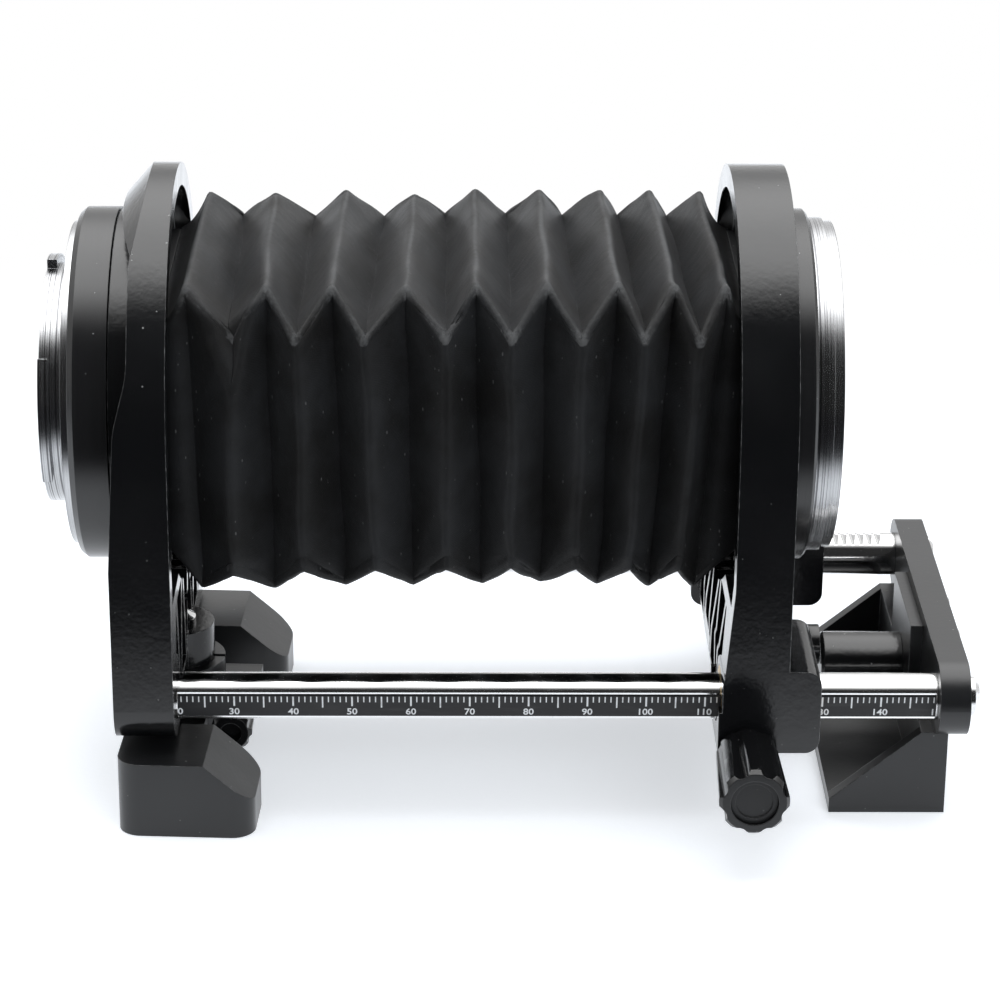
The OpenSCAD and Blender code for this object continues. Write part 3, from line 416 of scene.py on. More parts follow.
def shared_group(name, inputs, outputs):
    """Turns a function that fills a group into one that gives the group, which it makes once.

    Inputs are numbers with their defaults. Outputs are numbers too, apart from a normal.
    """

    def wrap(build):
        def group():
            found = bpy.data.node_groups.get(name)
            if found:
                return found
            tree = bpy.data.node_groups.new(name, "ShaderNodeTree")
            for socket, default in inputs.items():
                made = tree.interface.new_socket(
                    socket, in_out="INPUT", socket_type="NodeSocketFloat"
                )
                made.default_value = default
            for socket in outputs:
                kind = "NodeSocketVector" if socket == "Normal" else "NodeSocketFloat"
                tree.interface.new_socket(socket, in_out="OUTPUT", socket_type=kind)
            net = Net(tree)
            entry = net.node("NodeGroupInput").outputs
            leave = net.node("NodeGroupOutput")
            net.plug(leave, build(net, entry))
            return tree

        return group

    return wrap


@shared_group("Rounded edges", {"Radius": 0.0002}, ["Normal", "Edge"])
def rounded_edges(net, entry):
    """Softened edges: a normal that rolls over each edge, and a mask that is 1 on the edge."""
    roll = net.first("ShaderNodeBevel", {"Radius": entry["Radius"]}, samples=6)
    flat = net.node("ShaderNodeNewGeometry").outputs["Normal"]
    compare = net.node("ShaderNodeVectorMath", {0: roll, 1: flat}, operation="DOT_PRODUCT")
    turned = net.math("SUBTRACT", 1.0, compare.outputs["Value"])
    return {"Normal": roll, "Edge": net.step(turned, 0.02, 0.22)}


@shared_group(
    "Surface age", {"Dust": 1.0, "Scratches": 0.5}, ["Dust", "Haze", "Smudge", "Scratch"]
)
def surface_age(net, entry):
    """Handling marks: dust specks on what faces up, soft smudges and fine scratches."""
    place = net.place()
    up = net.parts(net.node("ShaderNodeNewGeometry").outputs["Normal"])[2]
    facing = net.step(up, -0.2, 0.7, 0.25, 1.0)
    cells = net.node("ShaderNodeTexVoronoi", {"Vector": place, "Scale": 900.0, "Randomness": 1.0})
    size = net.parts(cells.outputs["Color"])[0]
    reach = net.times(net.math("POWER", size, 8.0), 0.15)
    speck = net.math("LESS_THAN", cells.outputs["Distance"], reach)
    patch = net.step(net.noise(place, 38.0, 3.0), 0.42, 0.66)
    amount = net.times(entry["Dust"], facing)
    dust = net.times(speck, amount, clamp=True)
    haze = net.times(patch, amount)
    smudge = net.noise(net.scaled(place, 1.0, 1.6, 0.7), 55.0, 4.0, 0.6)
    strokes = net.noise(net.scaled(place, 60.0, 500.0, 2600.0), 1.0, 2.0)
    cross = net.noise(net.scaled(place, 2300.0, 90.0, 300.0), 1.0, 2.0)
    lines = net.math("MAXIMUM", strokes, cross)
    scratch = net.times(net.step(lines, 0.74, 0.80), entry["Scratches"])
    return {"Dust": dust, "Haze": haze, "Smudge": smudge, "Scratch": scratch}


@shared_group("Lathe rings", {"Fineness": 9000.0}, ["Height", "Tone"])
def lathe_rings(net, entry):
    """Turning marks about the light's axis: noise along the radius and along X."""
    axis = {0: net.place(), 1: (0.0, 0.0, -AXIS_Z)}
    centred = net.first("ShaderNodeVectorMath", axis, operation="ADD")
    along, across, up = net.parts(centred)[:3]
    turned = net.times(net.distance(across, up), entry["Fineness"])
    faced = net.times(along, entry["Fineness"])
    cuts = net.math("ADD", turned, faced)
    return {"Height": net.grain(cuts, 3.0), "Tone": net.grain(net.times(cuts, 0.22), 1.0)}


@shared_group("Cast skin", {"Peel": 1100.0}, ["Height", "Tone"])
def cast_skin(net, entry):
    """Paint over a casting: small orange peel on slow waves."""
    place = net.place()
    peel = net.noise(place, entry["Peel"], 1.0)
    waves = net.noise(place, 95.0, 2.0)
    return {"Height": net.math("MULTIPLY_ADD", waves, 5.0, peel), "Tone": waves}


@shared_group("Book cloth", {"Threads": 14000.0}, ["Height", "Fibre", "Tone"])
def book_cloth(net, entry):
    """Coated cloth: a plain weave under a thin coat, with fine grain and a few light fibres."""
    along, round_it = net.parts(net.first("ShaderNodeUVMap", {}))[:2]
    warp = net.math("SINE", net.times(along, entry["Threads"]))
    weft = net.math("SINE", net.times(round_it, entry["Threads"]))
    grain = net.noise(net.place(), 2600.0, 3.0, 0.65)
    height = net.math("MULTIPLY_ADD", net.times(warp, weft), 0.22, grain)
    slender = net.scaled(net.place(), 1.0, 1.0, 0.45)
    bits = net.node("ShaderNodeTexVoronoi", {"Vector": slender, "Scale": 1500.0})
    size = net.parts(bits.outputs["Color"])[1]
    reach = net.times(net.math("POWER", size, 12.0), 0.24)
    fibre = net.math("LESS_THAN", bits.outputs["Distance"], reach)
    tone = net.noise(net.place(), 75.0, 4.0, 0.6)
    return {"Height": height, "Fibre": fibre, "Tone": tone}


# ------------------------------------------------------------------ finishes

# A noise's scale is its number of waves in a metre, and a bump's distance is in metres.
# Masks, shares and roughness run from 0 to 1, and so do the levels between which step rises.


def rgb(colour):
    """A colour with full alpha."""
    return (colour[0], colour[1], colour[2], 1.0)


def grey(level):
    """A grey with full alpha."""
    return (level, level, level, 1.0)


class Finish(Net):
    """A new material. Its surface shader gets its inputs at the end, from done."""

    def __init__(self, name):
        self.material = bpy.data.materials.new(name)
        self.material.use_nodes = True
        super().__init__(self.material.node_tree)
        self.tree.nodes.clear()
        self.surface = self.node("ShaderNodeBsdfPrincipled")
        self.leave = self.node("ShaderNodeOutputMaterial")
        self.show(self.surface.outputs[0])

    def show(self, shader):
        """Makes a shader's output the one that the surface shows."""
        self.plug(self.leave, {"Surface": shader})

    def edges(self, radius):
        """Softened edges: their normal and their mask."""
        return self.group(rounded_edges(), {"Radius": radius})

    def age(self, dust, scratches):
        """Handling marks: the masks of dust, haze, smudges and scratches."""
        return self.group(surface_age(), {"Dust": dust, "Scratches": scratches})

    def done(self, **values):
        """Sets or links the surface shader's inputs; Base_Color stands for Base Color."""
        self.plug(self.surface, {name.replace("_", " "): v for name, v in values.items()})
        return self.material


def painted(name, colour, radius, rough, peel, dust, worn):
    """Black paint on a casting, with orange peel, rubbed edges, smudges and dust."""
    net = Finish(name)
    edge = net.edges(radius)
    skin = net.group(cast_skin(), {"Peel": 1050.0})
    age = net.age(dust, 0.5)
    rubbed = net.times(
        edge["Edge"],
        net.step(net.noise(net.place(), 620.0, 4.0, 0.7), 0.44, 0.66, 0.12, 1.0),
    )
    paint = net.cover(rgb(colour), rubbed, worn, grey(0.38))
    dusty = net.cover(paint, age["Haze"], 0.010, grey(0.5))
    specks = net.cover(dusty, age["Dust"], 0.4, (0.62, 0.62, 0.60, 1))
    worn_rough = net.math("MULTIPLY_ADD", age["Smudge"], 0.16, rough - 0.06)
    rougher = net.math("ADD", worn_rough, net.times(age["Dust"], 0.4))
    return net.done(
        Base_Color=specks,
        Roughness=net.math("MULTIPLY_ADD", age["Scratch"], 0.12, rougher),
        IOR=1.5,
        Normal=net.bump(skin["Height"], peel, 1.0, edge["Normal"]),
    )


def turned_black(name, colour, rough):
    """Black turned ring: fine grooves about the axis, bright where its edges are rubbed."""
    net = Finish(name)
    edge = net.edges(0.00018)
    rings = net.group(lathe_rings(), {"Fineness": 9000.0})
    age = net.age(0.8, 0.4)
    rubbed = net.times(
        edge["Edge"],
        net.step(net.noise(net.place(), 180.0, 3.0), 0.35, 0.7, 0.1, 0.55),
    )
    base = net.mix(rubbed, rgb(colour), grey(0.22))
    toned = net.cover(base, rings["Tone"], 0.010, grey(0.5))
    specks = net.cover(toned, age["Dust"], 0.5, grey(0.6))
    return net.done(
        Base_Color=specks,
        Roughness=net.math("MULTIPLY_ADD", age["Smudge"], 0.18, rough - 0.08),
        IOR=1.5,
        Normal=net.bump(rings["Height"], 0.000010, 1.0, edge["Normal"]),
    )


def moulded(name, colour, rough, spread):
    """Moulded plastic: even, with soft sink waves and light rubbed crests."""
    net = Finish(name)
    edge = net.edges(0.00025)
    age = net.age(0.7, 0.6)
    place = net.place()
    rubbed = net.times(edge["Edge"], net.step(net.noise(place, 300.0, 4.0), 0.4, 0.75, 0.0, 0.35))
    base = net.mix(rubbed, rgb(colour), grey(0.16))
    specks = net.cover(base, age["Dust"], 0.5, grey(0.6))
    grain = net.noise(place, 2400.0, 2.0)
    return net.done(
        Base_Color=specks,
        Roughness=net.math("MULTIPLY_ADD", age["Smudge"], spread, rough - spread / 2),
        IOR=1.46,
        Normal=net.bump(grain, 0.000012, 1.0, edge["Normal"]),
    )


def drawn_chrome(name, colour):
    """Chromed drawn rod: mirror bright, with slow waves and faint strokes along its length."""
    net = Finish(name)
    place = net.place()
    waves = net.noise(net.scaled(place, 45.0, 420.0, 420.0), 1.0, 2.0)
    strokes = net.noise(net.scaled(place, 60.0, 5200.0, 5200.0), 1.0, 2.0)
    age = net.age(0.5, 0.8)
    edge = net.edges(0.0002)
    height = net.math("MULTIPLY_ADD", strokes, 0.12, waves)
    base = net.cover(rgb(colour), strokes, 0.25, (0.45, 0.45, 0.46, 1))
    specks = net.mix(age["Dust"], base, grey(0.10))
    return net.done(
        Base_Color=specks,
        Metallic=1.0,
        Roughness=net.math("MULTIPLY_ADD", age["Smudge"], 0.16, 0.02),
        Normal=net.bump(height, 0.00003, 1.0, edge["Normal"]),
    )


def turned_chrome(name, colour, rough):
    """Satin chrome faced on a lathe: fine concentric grooves and a few darker bands."""
    net = Finish(name)
    edge = net.edges(0.00015)
    rings = net.group(lathe_rings(), {"Fineness": 12000.0})
    age = net.age(0.25, 0.4)
    groove = net.math("ABSOLUTE", net.math("SUBTRACT", rings["Tone"], 0.5))
    cut = net.step(groove, 0.0, 0.045, 0.85, 0.0)
    band = net.mix(cut, rgb(colour), (0.05, 0.05, 0.055, 1))
    marks = net.cover(band, age["Scratch"], 0.3, grey(0.30))
    specks = net.mix(age["Dust"], marks, grey(0.12))
    return net.done(
        Base_Color=specks,
        Metallic=1.0,
        Roughness=net.math("MULTIPLY_ADD", age["Smudge"], 0.14, rough - 0.05),
        Normal=net.bump(rings["Height"], 0.000012, 1.0, edge["Normal"]),
    )


def plain_metal(name, colour, rough, dark):
    """Machined metal: fine grain, darker in patches and along fine scratches."""
    net = Finish(name)
    place = net.place()
    edge = net.edges(0.0001)
    age = net.age(0.2, 0.8)
    patch = net.step(net.noise(place, 300.0, 3.0), 0.35, 0.75)
    tone = net.cover(rgb(colour), patch, 0.5, rgb(dark))
    lines = net.cover(tone, age["Scratch"], 0.3, rgb(dark))
    return net.done(
        Base_Color=lines,
        Metallic=1.0,
        Roughness=net.math("MULTIPLY_ADD", age["Smudge"], 0.2, rough - 0.08),
        Normal=net.bump(net.noise(place, 3500.0, 2.0), 0.000008, 1.0, edge["Normal"]),
    )


def strip_black(name, colour):
    """Matt black of the scale: a thin even coat with fine grain and slight rubbing."""
    net = Finish(name)
    place = net.place()
    age = net.age(0.3, 0.6)
    rub = net.step(net.noise(net.scaled(place, 120.0, 900.0, 900.0), 1.0, 3.0), 0.5, 0.8)
    base = net.cover(rgb(colour), rub, 0.03, grey(0.4))
    lines = net.cover(base, age["Scratch"], 0.06, grey(0.5))
    return net.done(
        Base_Color=lines,
        Roughness=net.math("MULTIPLY_ADD", age["Smudge"], 0.2, 0.38),
        IOR=1.45,
        Normal=net.bump(net.noise(place, 4000.0, 2.0), 0.000004),
    )


def printed_white(name, colour):
    """White filling of the scale's marks, slightly uneven and worn thin in places."""
    net = Finish(name)
    place = net.place()
    thin = net.step(net.noise(place, 900.0, 3.0), 0.50, 0.80)
    ink = net.cover(rgb(colour), thin, 0.45, grey(0.20))
    return net.done(
        Base_Color=ink,
        Roughness=net.between(thin, 0.5, 0.65),
        Normal=net.bump(net.noise(place, 5000.0, 2.0), 0.000005),
    )


def pleat_cloth(name, colour, worn):
    """Coated black cloth, rubbed grey along its outer folds and at its corners, which also paints a
    highlight where their edges catch the light.
    """
    net = Finish(name)
    cloth = net.group(book_cloth(), {"Threads": 14000.0})
    ridge = net.node("ShaderNodeAttribute", attribute_name="ridge").outputs["Fac"]
    corner = net.node("ShaderNodeAttribute", attribute_name="corner").outputs["Fac"]
    patchy = net.noise(net.place(), 1300.0, 5.0, 0.75)
    slow = net.noise(net.place(), 130.0, 2.0)
    # paler along outer folds and corners: rubbed grey and a painted highlight together
    rub = net.times(net.math("MAXIMUM", ridge, corner), net.math("ADD", slow, 0.35))
    wear_and_highlight = net.step(net.math("ADD", rub, patchy), 0.92, 1.34)
    dirt = net.step(cloth["Tone"], 0.30, 0.70, 0.0, 0.75)
    tone = net.mix(dirt, rgb(colour), (0.006, 0.0055, 0.005, 1))
    # the worn colour laid on here is rubbing and painted highlight at once
    rubbed = net.cover(tone, wear_and_highlight, 0.85, rgb(worn))
    bits = net.cover(rubbed, cloth["Fibre"], 0.22, grey(0.30))
    fine = net.bump(cloth["Height"], 0.00004)
    creased = net.bump(net.noise(net.place(), 330.0, 4.0, 0.6), 0.00016, 0.8, fine)
    return net.done(
        Base_Color=bits,
        Roughness=net.between(wear_and_highlight, 0.50, 0.72),
        IOR=1.45,
        Specular_IOR_Level=0.22,
        Sheen_Weight=0.02,
        Sheen_Roughness=0.4,
        Normal=creased,
    )


def wear_finish(node_names, material):
    """Puts a finish on every slot of the named CAD nodes."""
    for name in node_names:
        mesh_object = NODES[name]
        if not mesh_object.material_slots:
            mesh_object.data.materials.append(material)
        for slot in mesh_object.material_slots:
            slot.material = material


# ------------------------------------------------------------------ shapes


def new_object(name, data):
    """A new object in the scene, for a mesh, an outline, a camera or a lamp."""
    made = bpy.data.objects.new(name, data)
    bpy.context.scene.collection.objects.link(made)
    return made


def new_piece(name, mesh, body, material):
    """Links a finished mesh as a piece that rides on a CAD body."""
    piece = new_object(name, mesh)
    piece.data.materials.clear()
    piece.data.materials.append(material)
    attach(piece, body)
    return piece


def surface_mesh(name, points, faces):
    """A mesh from an array of points and an array or list of faces."""
    mesh = bpy.data.meshes.new(name)
    mesh.from_pydata(np.asarray(points).tolist(), [], [list(face) for face in faces])
    mesh.update()
    return mesh


def evaluated_mesh(source):
    """The mesh that an object shows once its modifiers or its outline are worked out."""
    graph = bpy.context.evaluated_depsgraph_get()
    return bpy.data.meshes.new_from_object(source.evaluated_get(graph), depsgraph=graph)


def add_wall(piece, thickness):
    """Gives a surface its thickness, inwards from what shows."""
    wall = piece.modifiers.new("Wall", "SOLIDIFY")
    wall.thickness = thickness
    wall.offset = -1
    mesh = evaluated_mesh(piece)
    piece.modifiers.clear()
    piece.data = mesh


def tube_quads(rings, around):
    """Quads between neighbouring rings of points, each ring closed on itself."""
    index = np.arange(rings * around).reshape(rings, around)
    after = np.roll(index, -1, axis=1)
    quads = np.stack([index[1:], after[1:], after[:-1], index[:-1]], axis=-1)
    return quads.reshape(-1, 4)


def fold_wave(phase, firmness):
    """Fold height from -1, fully in, to 1, fully out, at each phase counted in folds.

    asin(k sin) / asin(k) is a triangle wave whose tips get sharper as the firmness k nears 1.
    """
    return np.arcsin(-firmness * np.cos(math.pi * phase)) / np.arcsin(firmness)


def ripples(along, round_it, seed, count, reach_along, reach_round):
    """Sum of sine waves over the length and round the cloth, with seeded turns and phases.

    Waves have a whole number of turns round the cloth, so they meet themselves.
    """
    draw = np.random.default_rng(seed)
    total = np.zeros(np.broadcast(along, round_it).shape)
    for _ in range(count):
        turns = draw.integers(1, reach_round)
        pace = draw.uniform(-reach_along, reach_along)
        phase = draw.uniform(0, 2 * math.pi)
        total += np.sin(2 * math.pi * (pace * along + turns * round_it) + phase)
    return total / math.sqrt(count)


def perimeter(points_a_side, corner_steps):
    """Points round a rounded square: (side share, corner share) for Y and Z, and a run of 0 to 1.

    A point lies at share * (half size - corner radius) + corner share * corner radius.
    Along a side the first share runs from -1 to 1 as a sine, close together at the corners.
    Round a corner the corner shares are cosine and sine.
    """
    sweep = np.sin(np.linspace(-math.pi / 2, math.pi / 2, points_a_side + 2)[1:-1])
    turn = np.linspace(0, math.pi / 2, corner_steps)
    one = np.ones_like(sweep)
    nil = np.zeros_like(sweep)
    sides = (
        (-sweep, nil, one, one),
        (-one, -one, -sweep, nil),
        (sweep, nil, -one, -one),
        (one, one, sweep, nil),
    )
    stretches = []
    for quarter, side in enumerate(sides):
        turned = turn + quarter * math.pi / 2
        middle = math.pi / 4 + quarter * math.pi / 2
        sign_y = np.sign(math.cos(middle)) * np.ones_like(turn)
        sign_z = np.sign(math.sin(middle)) * np.ones_like(turn)
        stretches += [(sign_y, np.cos(turned), sign_z, np.sin(turned)), side]
    arrays = [np.concatenate(column) for column in zip(*stretches)]
    run = np.arange(len(arrays[0])) / len(arrays[0])
    return arrays, run


def pleated_cloth(settings):
    """Vertices, quads, lengths along and round the cloth, and masks of rubbed grey and painted
    highlight of the pleated tube.

    At phase p, counted in folds, the cross-section is a rounded rectangle. With w the fold wave,
    its half height is outer height - (1 - w) * depth / 2, and its half width is
    outer width - (1 + w) * depth / 2, so the top folds out where the sides fold in, and the
    corner runs down a zigzag. Before the first and behind the last fold both go straight to
    the ends' sizes. A fold lies at x = place + lean * y / half width + lean * z / half height,
    from the table of folds. Seeded ripples then move the cloth along its normal.
    """
    last = len(FOLDS) - 1
    share = (1 - np.cos(math.pi * np.arange(FOLD_STEPS) / FOLD_STEPS)) / 2
    phase = (np.arange(last)[:, None] + share[None, :]).ravel()
    phase = np.append(phase, float(last))[:, None]
    (share_y, bend_y, share_z, bend_z), run = perimeter(SIDE_POINTS, CORNER_POINTS)
    share_y, bend_y, share_z, bend_z = (a[None, :] for a in (share_y, bend_y, share_z, bend_z))
    run = run[None, :]
    place, lean_y, lean_z, rise, hang = (
        np.interp(phase[:, 0], np.arange(last + 1), column)[:, None] * 0.001 for column in FOLDS.T
    )

    # firm at the corners, softer in the middle of each side
    side = np.where(np.abs(bend_y) > np.abs(bend_z), share_z, share_y)
    firmness = MIDDLE_FIRMNESS + CORNER_FIRMNESS * np.abs(side) ** 3
    wave = fold_wave(phase, firmness)
    outer_width = (BELLOWS_HIGH.y - BELLOWS_LOW.y) / 2
    outer_height = (BELLOWS_HIGH.z - BELLOWS_LOW.z) / 2
    depth = settings.depth
    reach = np.where(bend_z < -0.1, depth * settings.sag, depth)
    height = outer_height - (1 - wave) * reach / 2
    width = outer_width - (1 + wave) * depth / 2
    from_end = np.clip(np.minimum(phase, last - phase), 0, 1)
    height = settings.end_height + (height - settings.end_height) * from_end
    width = settings.end_width + (width - settings.end_width) * from_end

    y = share_y * (width - CORNER_RADIUS) + bend_y * CORNER_RADIUS
    z = share_z * (height - CORNER_RADIUS) + bend_z * CORNER_RADIUS
    z = z + np.where(share_z > 0, rise, -hang) * np.abs(z) / outer_height
    loose = np.clip(np.minimum(phase, last - phase) - STILL, 0, 1)
    draw = np.random.default_rng(BOW_SEED)
    bows = draw.uniform(*BOW_RANGE, last + 1)
    bow = np.interp(phase[:, 0], np.arange(last + 1), bows)[:, None]
    out = bow * settings.unevenness * (1 - side**2) * loose
    out = out + OUTWARD_RIPPLE * ripples(phase / 2, run, *OUTWARD_WAVES) * loose
    y = y + bend_y * out
    z = z + bend_z * out

    # a corner that was once pushed in, by the first inner fold, on the scale's side
    near = np.clip(1 - np.abs(phase - DENT_FOLD) / DENT_REACH, 0, 1)
    steep, flat = math.cos(settings.dent_tilt), math.sin(settings.dent_tilt)
    allowed = steep * outer_width + flat * (outer_height - depth) - settings.dent * near
    over = np.clip(-steep * y + flat * z - allowed, 0, None) * (near > 0)
    y = y + over * steep
    z = z - over * flat

    x = BELLOWS_LOW.x + place * (BELLOWS_HIGH.x - BELLOWS_LOW.x) / (FOLDS[-1, 0] * 0.001)
    x = x - lean_y * y / outer_width / 2 + lean_z * z / outer_height / 2
    x = x + FORWARD_RIPPLE * ripples(phase / 2, run, *FORWARD_WAVES) * loose
    x = x + over * DENT_SLIDE

    # ridge and corner: masks of rubbed grey and of a painted highlight where the folds' edges catch
    # the light, on the top's outer folds and along the corners, less on the underside
    ridge = RIDGE_RUB_AND_HIGHLIGHT * np.clip((wave - RUB_AND_HIGHLIGHT_FROM) / (1 - RUB_AND_HIGHLIGHT_FROM), 0, 1) ** 2
    ridge = ridge * np.clip(loose * 2, 0, 1) * (bend_z > 0.5)
    to_corner = (1 - np.abs(side)) * (1 - np.abs(bend_y * bend_z) * 2)
    to_corner = to_corner * np.where(np.abs(bend_z) > np.abs(bend_y), width, height)
    corner = np.exp(-((to_corner / RUB_AND_HIGHLIGHT_WIDTH) ** 2)) * (0.5 + 0.5 * np.abs(wave) ** 4)
    corner = corner * np.where(z > 0, 1.0, UNDERSIDE_RUB_AND_HIGHLIGHT) * np.clip(loose * 3, 0, 1)

    points = np.stack(np.broadcast_arrays(x, y, z + AXIS_Z), axis=-1)
    quads = tube_quads(*points.shape[:2])
    slope = np.hypot(np.gradient(x[:, 0]), np.gradient(height[:, 0]))
    gone = np.cumsum(slope)[:, None] + 0 * share_y
    girth = run * 4 * (outer_width + outer_height) + 0 * phase
    return points.reshape(-1, 3), quads, gone, girth, ridge, corner


def cloth_hem(settings):
    """Vertices and quads of the straight hem: a rounded rectangle drawn out along X."""
    (share_y, bend_y, share_z, bend_z), _ = perimeter(4, CORNER_POINTS)
    y = share_y * (settings.hem_width - CORNER_RADIUS) + bend_y * CORNER_RADIUS
    z = share_z * (settings.hem_height - CORNER_RADIUS) + bend_z * CORNER_RADIUS + AXIS_Z
    ends = [np.full_like(y, x) for x in (BELLOWS_HIGH.x - settings.hem, BELLOWS_HIGH.x)]
    points = np.stack([np.stack([x, y, z], axis=-1) for x in ends])
    return points.reshape(-1, 3), tube_quads(2, len(y))


def float_mask(mesh, name, values):
    """Stores one number for each point of the mesh."""
    layer = mesh.attributes.new(name, "FLOAT", "POINT")
    layer.data.foreach_set("value", np.ascontiguousarray(values, np.float32).ravel())


def cloth_uv(mesh, gone, girth, last_girth):
    """UVs in metres: along the folded cloth, and round it, unbroken at the closing seam."""
    corners = np.empty(len(mesh.loops), np.int64)
    mesh.loops.foreach_get("vertex_index", corners)
    u = gone.ravel()[corners]
    v = girth.ravel()[corners]
    v = v.reshape(-1, 4)
    wraps = (v.max(axis=1) - v.min(axis=1)) > last_girth / 2
    v[wraps] = np.where(v[wraps] < last_girth / 2, v[wraps] + last_girth, v[wraps])
    layer = mesh.uv_layers.new(name="cloth")
    layer.data.foreach_set("uv", np.stack([u, v.ravel()], axis=1).astype(np.float32).ravel())


def box_marks(centres, half_widths, lows, highs, settings):
    """Thin boxes on the scale's face: for each centre along X, from low to high across it.

    A corner is centre +- half width along X, low or high along the face's up, and 0 or
    the ink's thickness along its normal.
    """
    up, normal, middle = scale_face(settings)
    count = len(centres)
    sx = np.array([-1, 1, 1, -1, -1, 1, 1, -1]) * half_widths[:, None]
    high = np.array([0, 0, 1, 1, 0, 0, 1, 1])
    proud = np.array([0, 0, 0, 0, 1, 1, 1, 1]) * INK
    across = lows[:, None] * (1 - high) + highs[:, None] * high
    points = np.zeros((count, 8, 3))
    points[:, :, 0] = centres[:, None] + sx
    for axis in (1, 2):
        points[:, :, axis] = middle[axis] + across * up[axis] + proud * normal[axis]
    faces = np.array(
        [[0, 3, 2, 1], [4, 5, 6, 7], [0, 1, 5, 4], [1, 2, 6, 5], [2, 3, 7, 6], [3, 0, 4, 7]]
    )
    every = (np.arange(count) * 8)[:, None, None] + faces
    return points.reshape(-1, 3), every.reshape(-1, 4)


def scale_face(settings):
    """Up, normal and middle of the scale's face, which looks out and a little down."""
    lean = settings.tilt
    normal = Vector((0, -math.cos(lean), -math.sin(lean)))
    up = Vector((0, -math.sin(lean), math.cos(lean)))
    middle = Vector((0, RAIL_Y, RAIL_Z)) + normal * settings.off_centre
    return up, normal, middle


def scale_x(millimetres):
    """Where on X the scale reads so many millimetres."""
    return millimetres * 0.001 + SCALE_ZERO


def numeral_mesh(text, centre, settings):
    """One bold numeral: the flat outline is thickened, made a mesh and set on the face."""
    curve = bpy.data.curves.new("numeral", "FONT")
    curve.body = text
    curve.align_x = "CENTER"
    curve.size = 1.0
    curve.offset = NUMERAL_BOLDER
    curve.extrude = NUMERAL_THICK
    curve.resolution_u = 3
    holder = new_object("numeral", curve)
    mesh = evaluated_mesh(holder)
    bpy.data.objects.remove(holder)
    bpy.data.curves.remove(curve)
    points = np.empty(len(mesh.vertices) * 3)
    mesh.vertices.foreach_get("co", points)
    points = points.reshape(-1, 3)
    low, high = points.min(axis=0), points.max(axis=0)
    grow = settings.numeral / (high[1] - low[1])
    up, normal, middle = scale_face(settings)
    flat_x = (points[:, 0] - (low[0] + high[0]) / 2) * grow * NUMERAL_WIDENING + centre
    flat_up = (points[:, 1] - (low[1] + high[1]) / 2) * grow - NUMERAL_DROP
    proud = np.where(points[:, 2] > 0, INK, 0.0)
    placed = np.stack(
        [
            flat_x,
            middle.y + flat_up * up.y + proud * normal.y,
            middle.z + flat_up * up.z + proud * normal.z,
        ],
        axis=1,
    )
    faces = [tuple(p.vertices) for p in mesh.polygons]
    bpy.data.meshes.remove(mesh)
    return placed, faces


# ------------------------------------------------------------------ operators


class Step:
    """What all operators share: each dresses the unit from its own settings."""

    settings_name = "bellows_finish"

    def execute(self, context):
        self.dress(getattr(context.scene, self.settings_name))
        return {"FINISHED"}


class BELLOWS_OT_cloth(Step, bpy.types.Operator):
    """Makes the pleated cloth in place of the plain folded solid"""

    bl_idname = "bellows.cloth"
    bl_label = "Pleated cloth"
    settings_name = "bellows_cloth"

    def dress(self, settings):
        points, quads, gone, girth, ridge, corner = pleated_cloth(settings)
        mesh = surface_mesh("pleated_cloth", points, quads)
        float_mask(mesh, "ridge", ridge)
        float_mask(mesh, "corner", corner)
        cloth_uv(mesh, gone, girth, 4 * (BELLOWS_HIGH.y + BELLOWS_HIGH.z - AXIS_Z))
        mesh.shade_smooth()
        finish = pleat_cloth("Pleat cloth", settings.colour, settings.worn_colour)
        piece = new_piece("pleated_cloth", mesh, "frame", finish)
        add_wall(piece, settings.thickness)
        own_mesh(piece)
        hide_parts("bellows")
        self.add_hem(settings, finish)

    def add_hem(self, settings, finish):
        """The hem rides with the front standard, inside its recess."""
        points, quads = cloth_hem(settings)
        mesh = surface_mesh("cloth_hem", points, quads)
        for name in ("ridge", "corner"):
            float_mask(mesh, name, np.zeros(len(points)))
        hem = new_piece("cloth_hem", mesh, "lens_standard", finish)
        add_wall(hem, settings.hem_thickness)


class BELLOWS_OT_marks(Step, bpy.types.Operator):
    """Makes the scale's millimetre marks and its numerals"""

    bl_idname = "bellows.marks"
    bl_label = "Scale marks"
    settings_name = "bellows_scale"

    def dress(self, settings):
        values = np.arange(settings.first, settings.last + 1)
        top = settings.width / 2 - MARK_MARGIN
        kinds = [values % 10 == 0, values % 5 == 0]
        lows = top - np.select(kinds, MARK_LENGTHS[:2], MARK_LENGTHS[2])
        widths = settings.line * np.select(kinds, MARK_WIDTHS[:2], MARK_WIDTHS[2])
        highs = np.full(len(values), top)
        finish = printed_white("Scale white", settings.colour)
        points, faces = box_marks(scale_x(values), widths / 2, lows, highs, settings)
        mesh = surface_mesh("scale_marks", points, faces)
        new_piece("scale_marks", mesh, "frame", finish)
        every_point = []
        every_face = []
        start = 0
        whole = range(FIRST_NUMERAL, settings.last + 1, NUMERAL_EVERY)
        numerals = [(str(value), scale_x(value)) for value in whole]
        for text, centre in (CUT_NUMERALS[0], *numerals, CUT_NUMERALS[1]):
            placed, numeral_faces = numeral_mesh(text, centre, settings)
            every_point.append(placed)
            every_face += [tuple(start + i for i in face) for face in numeral_faces]
            start += len(placed)
        mesh = surface_mesh("scale_numerals", np.concatenate(every_point), every_face)
        new_piece("scale_numerals", mesh, "frame", finish)
        wear_finish(["scale_strip"], strip_black("Scale black", settings.strip))


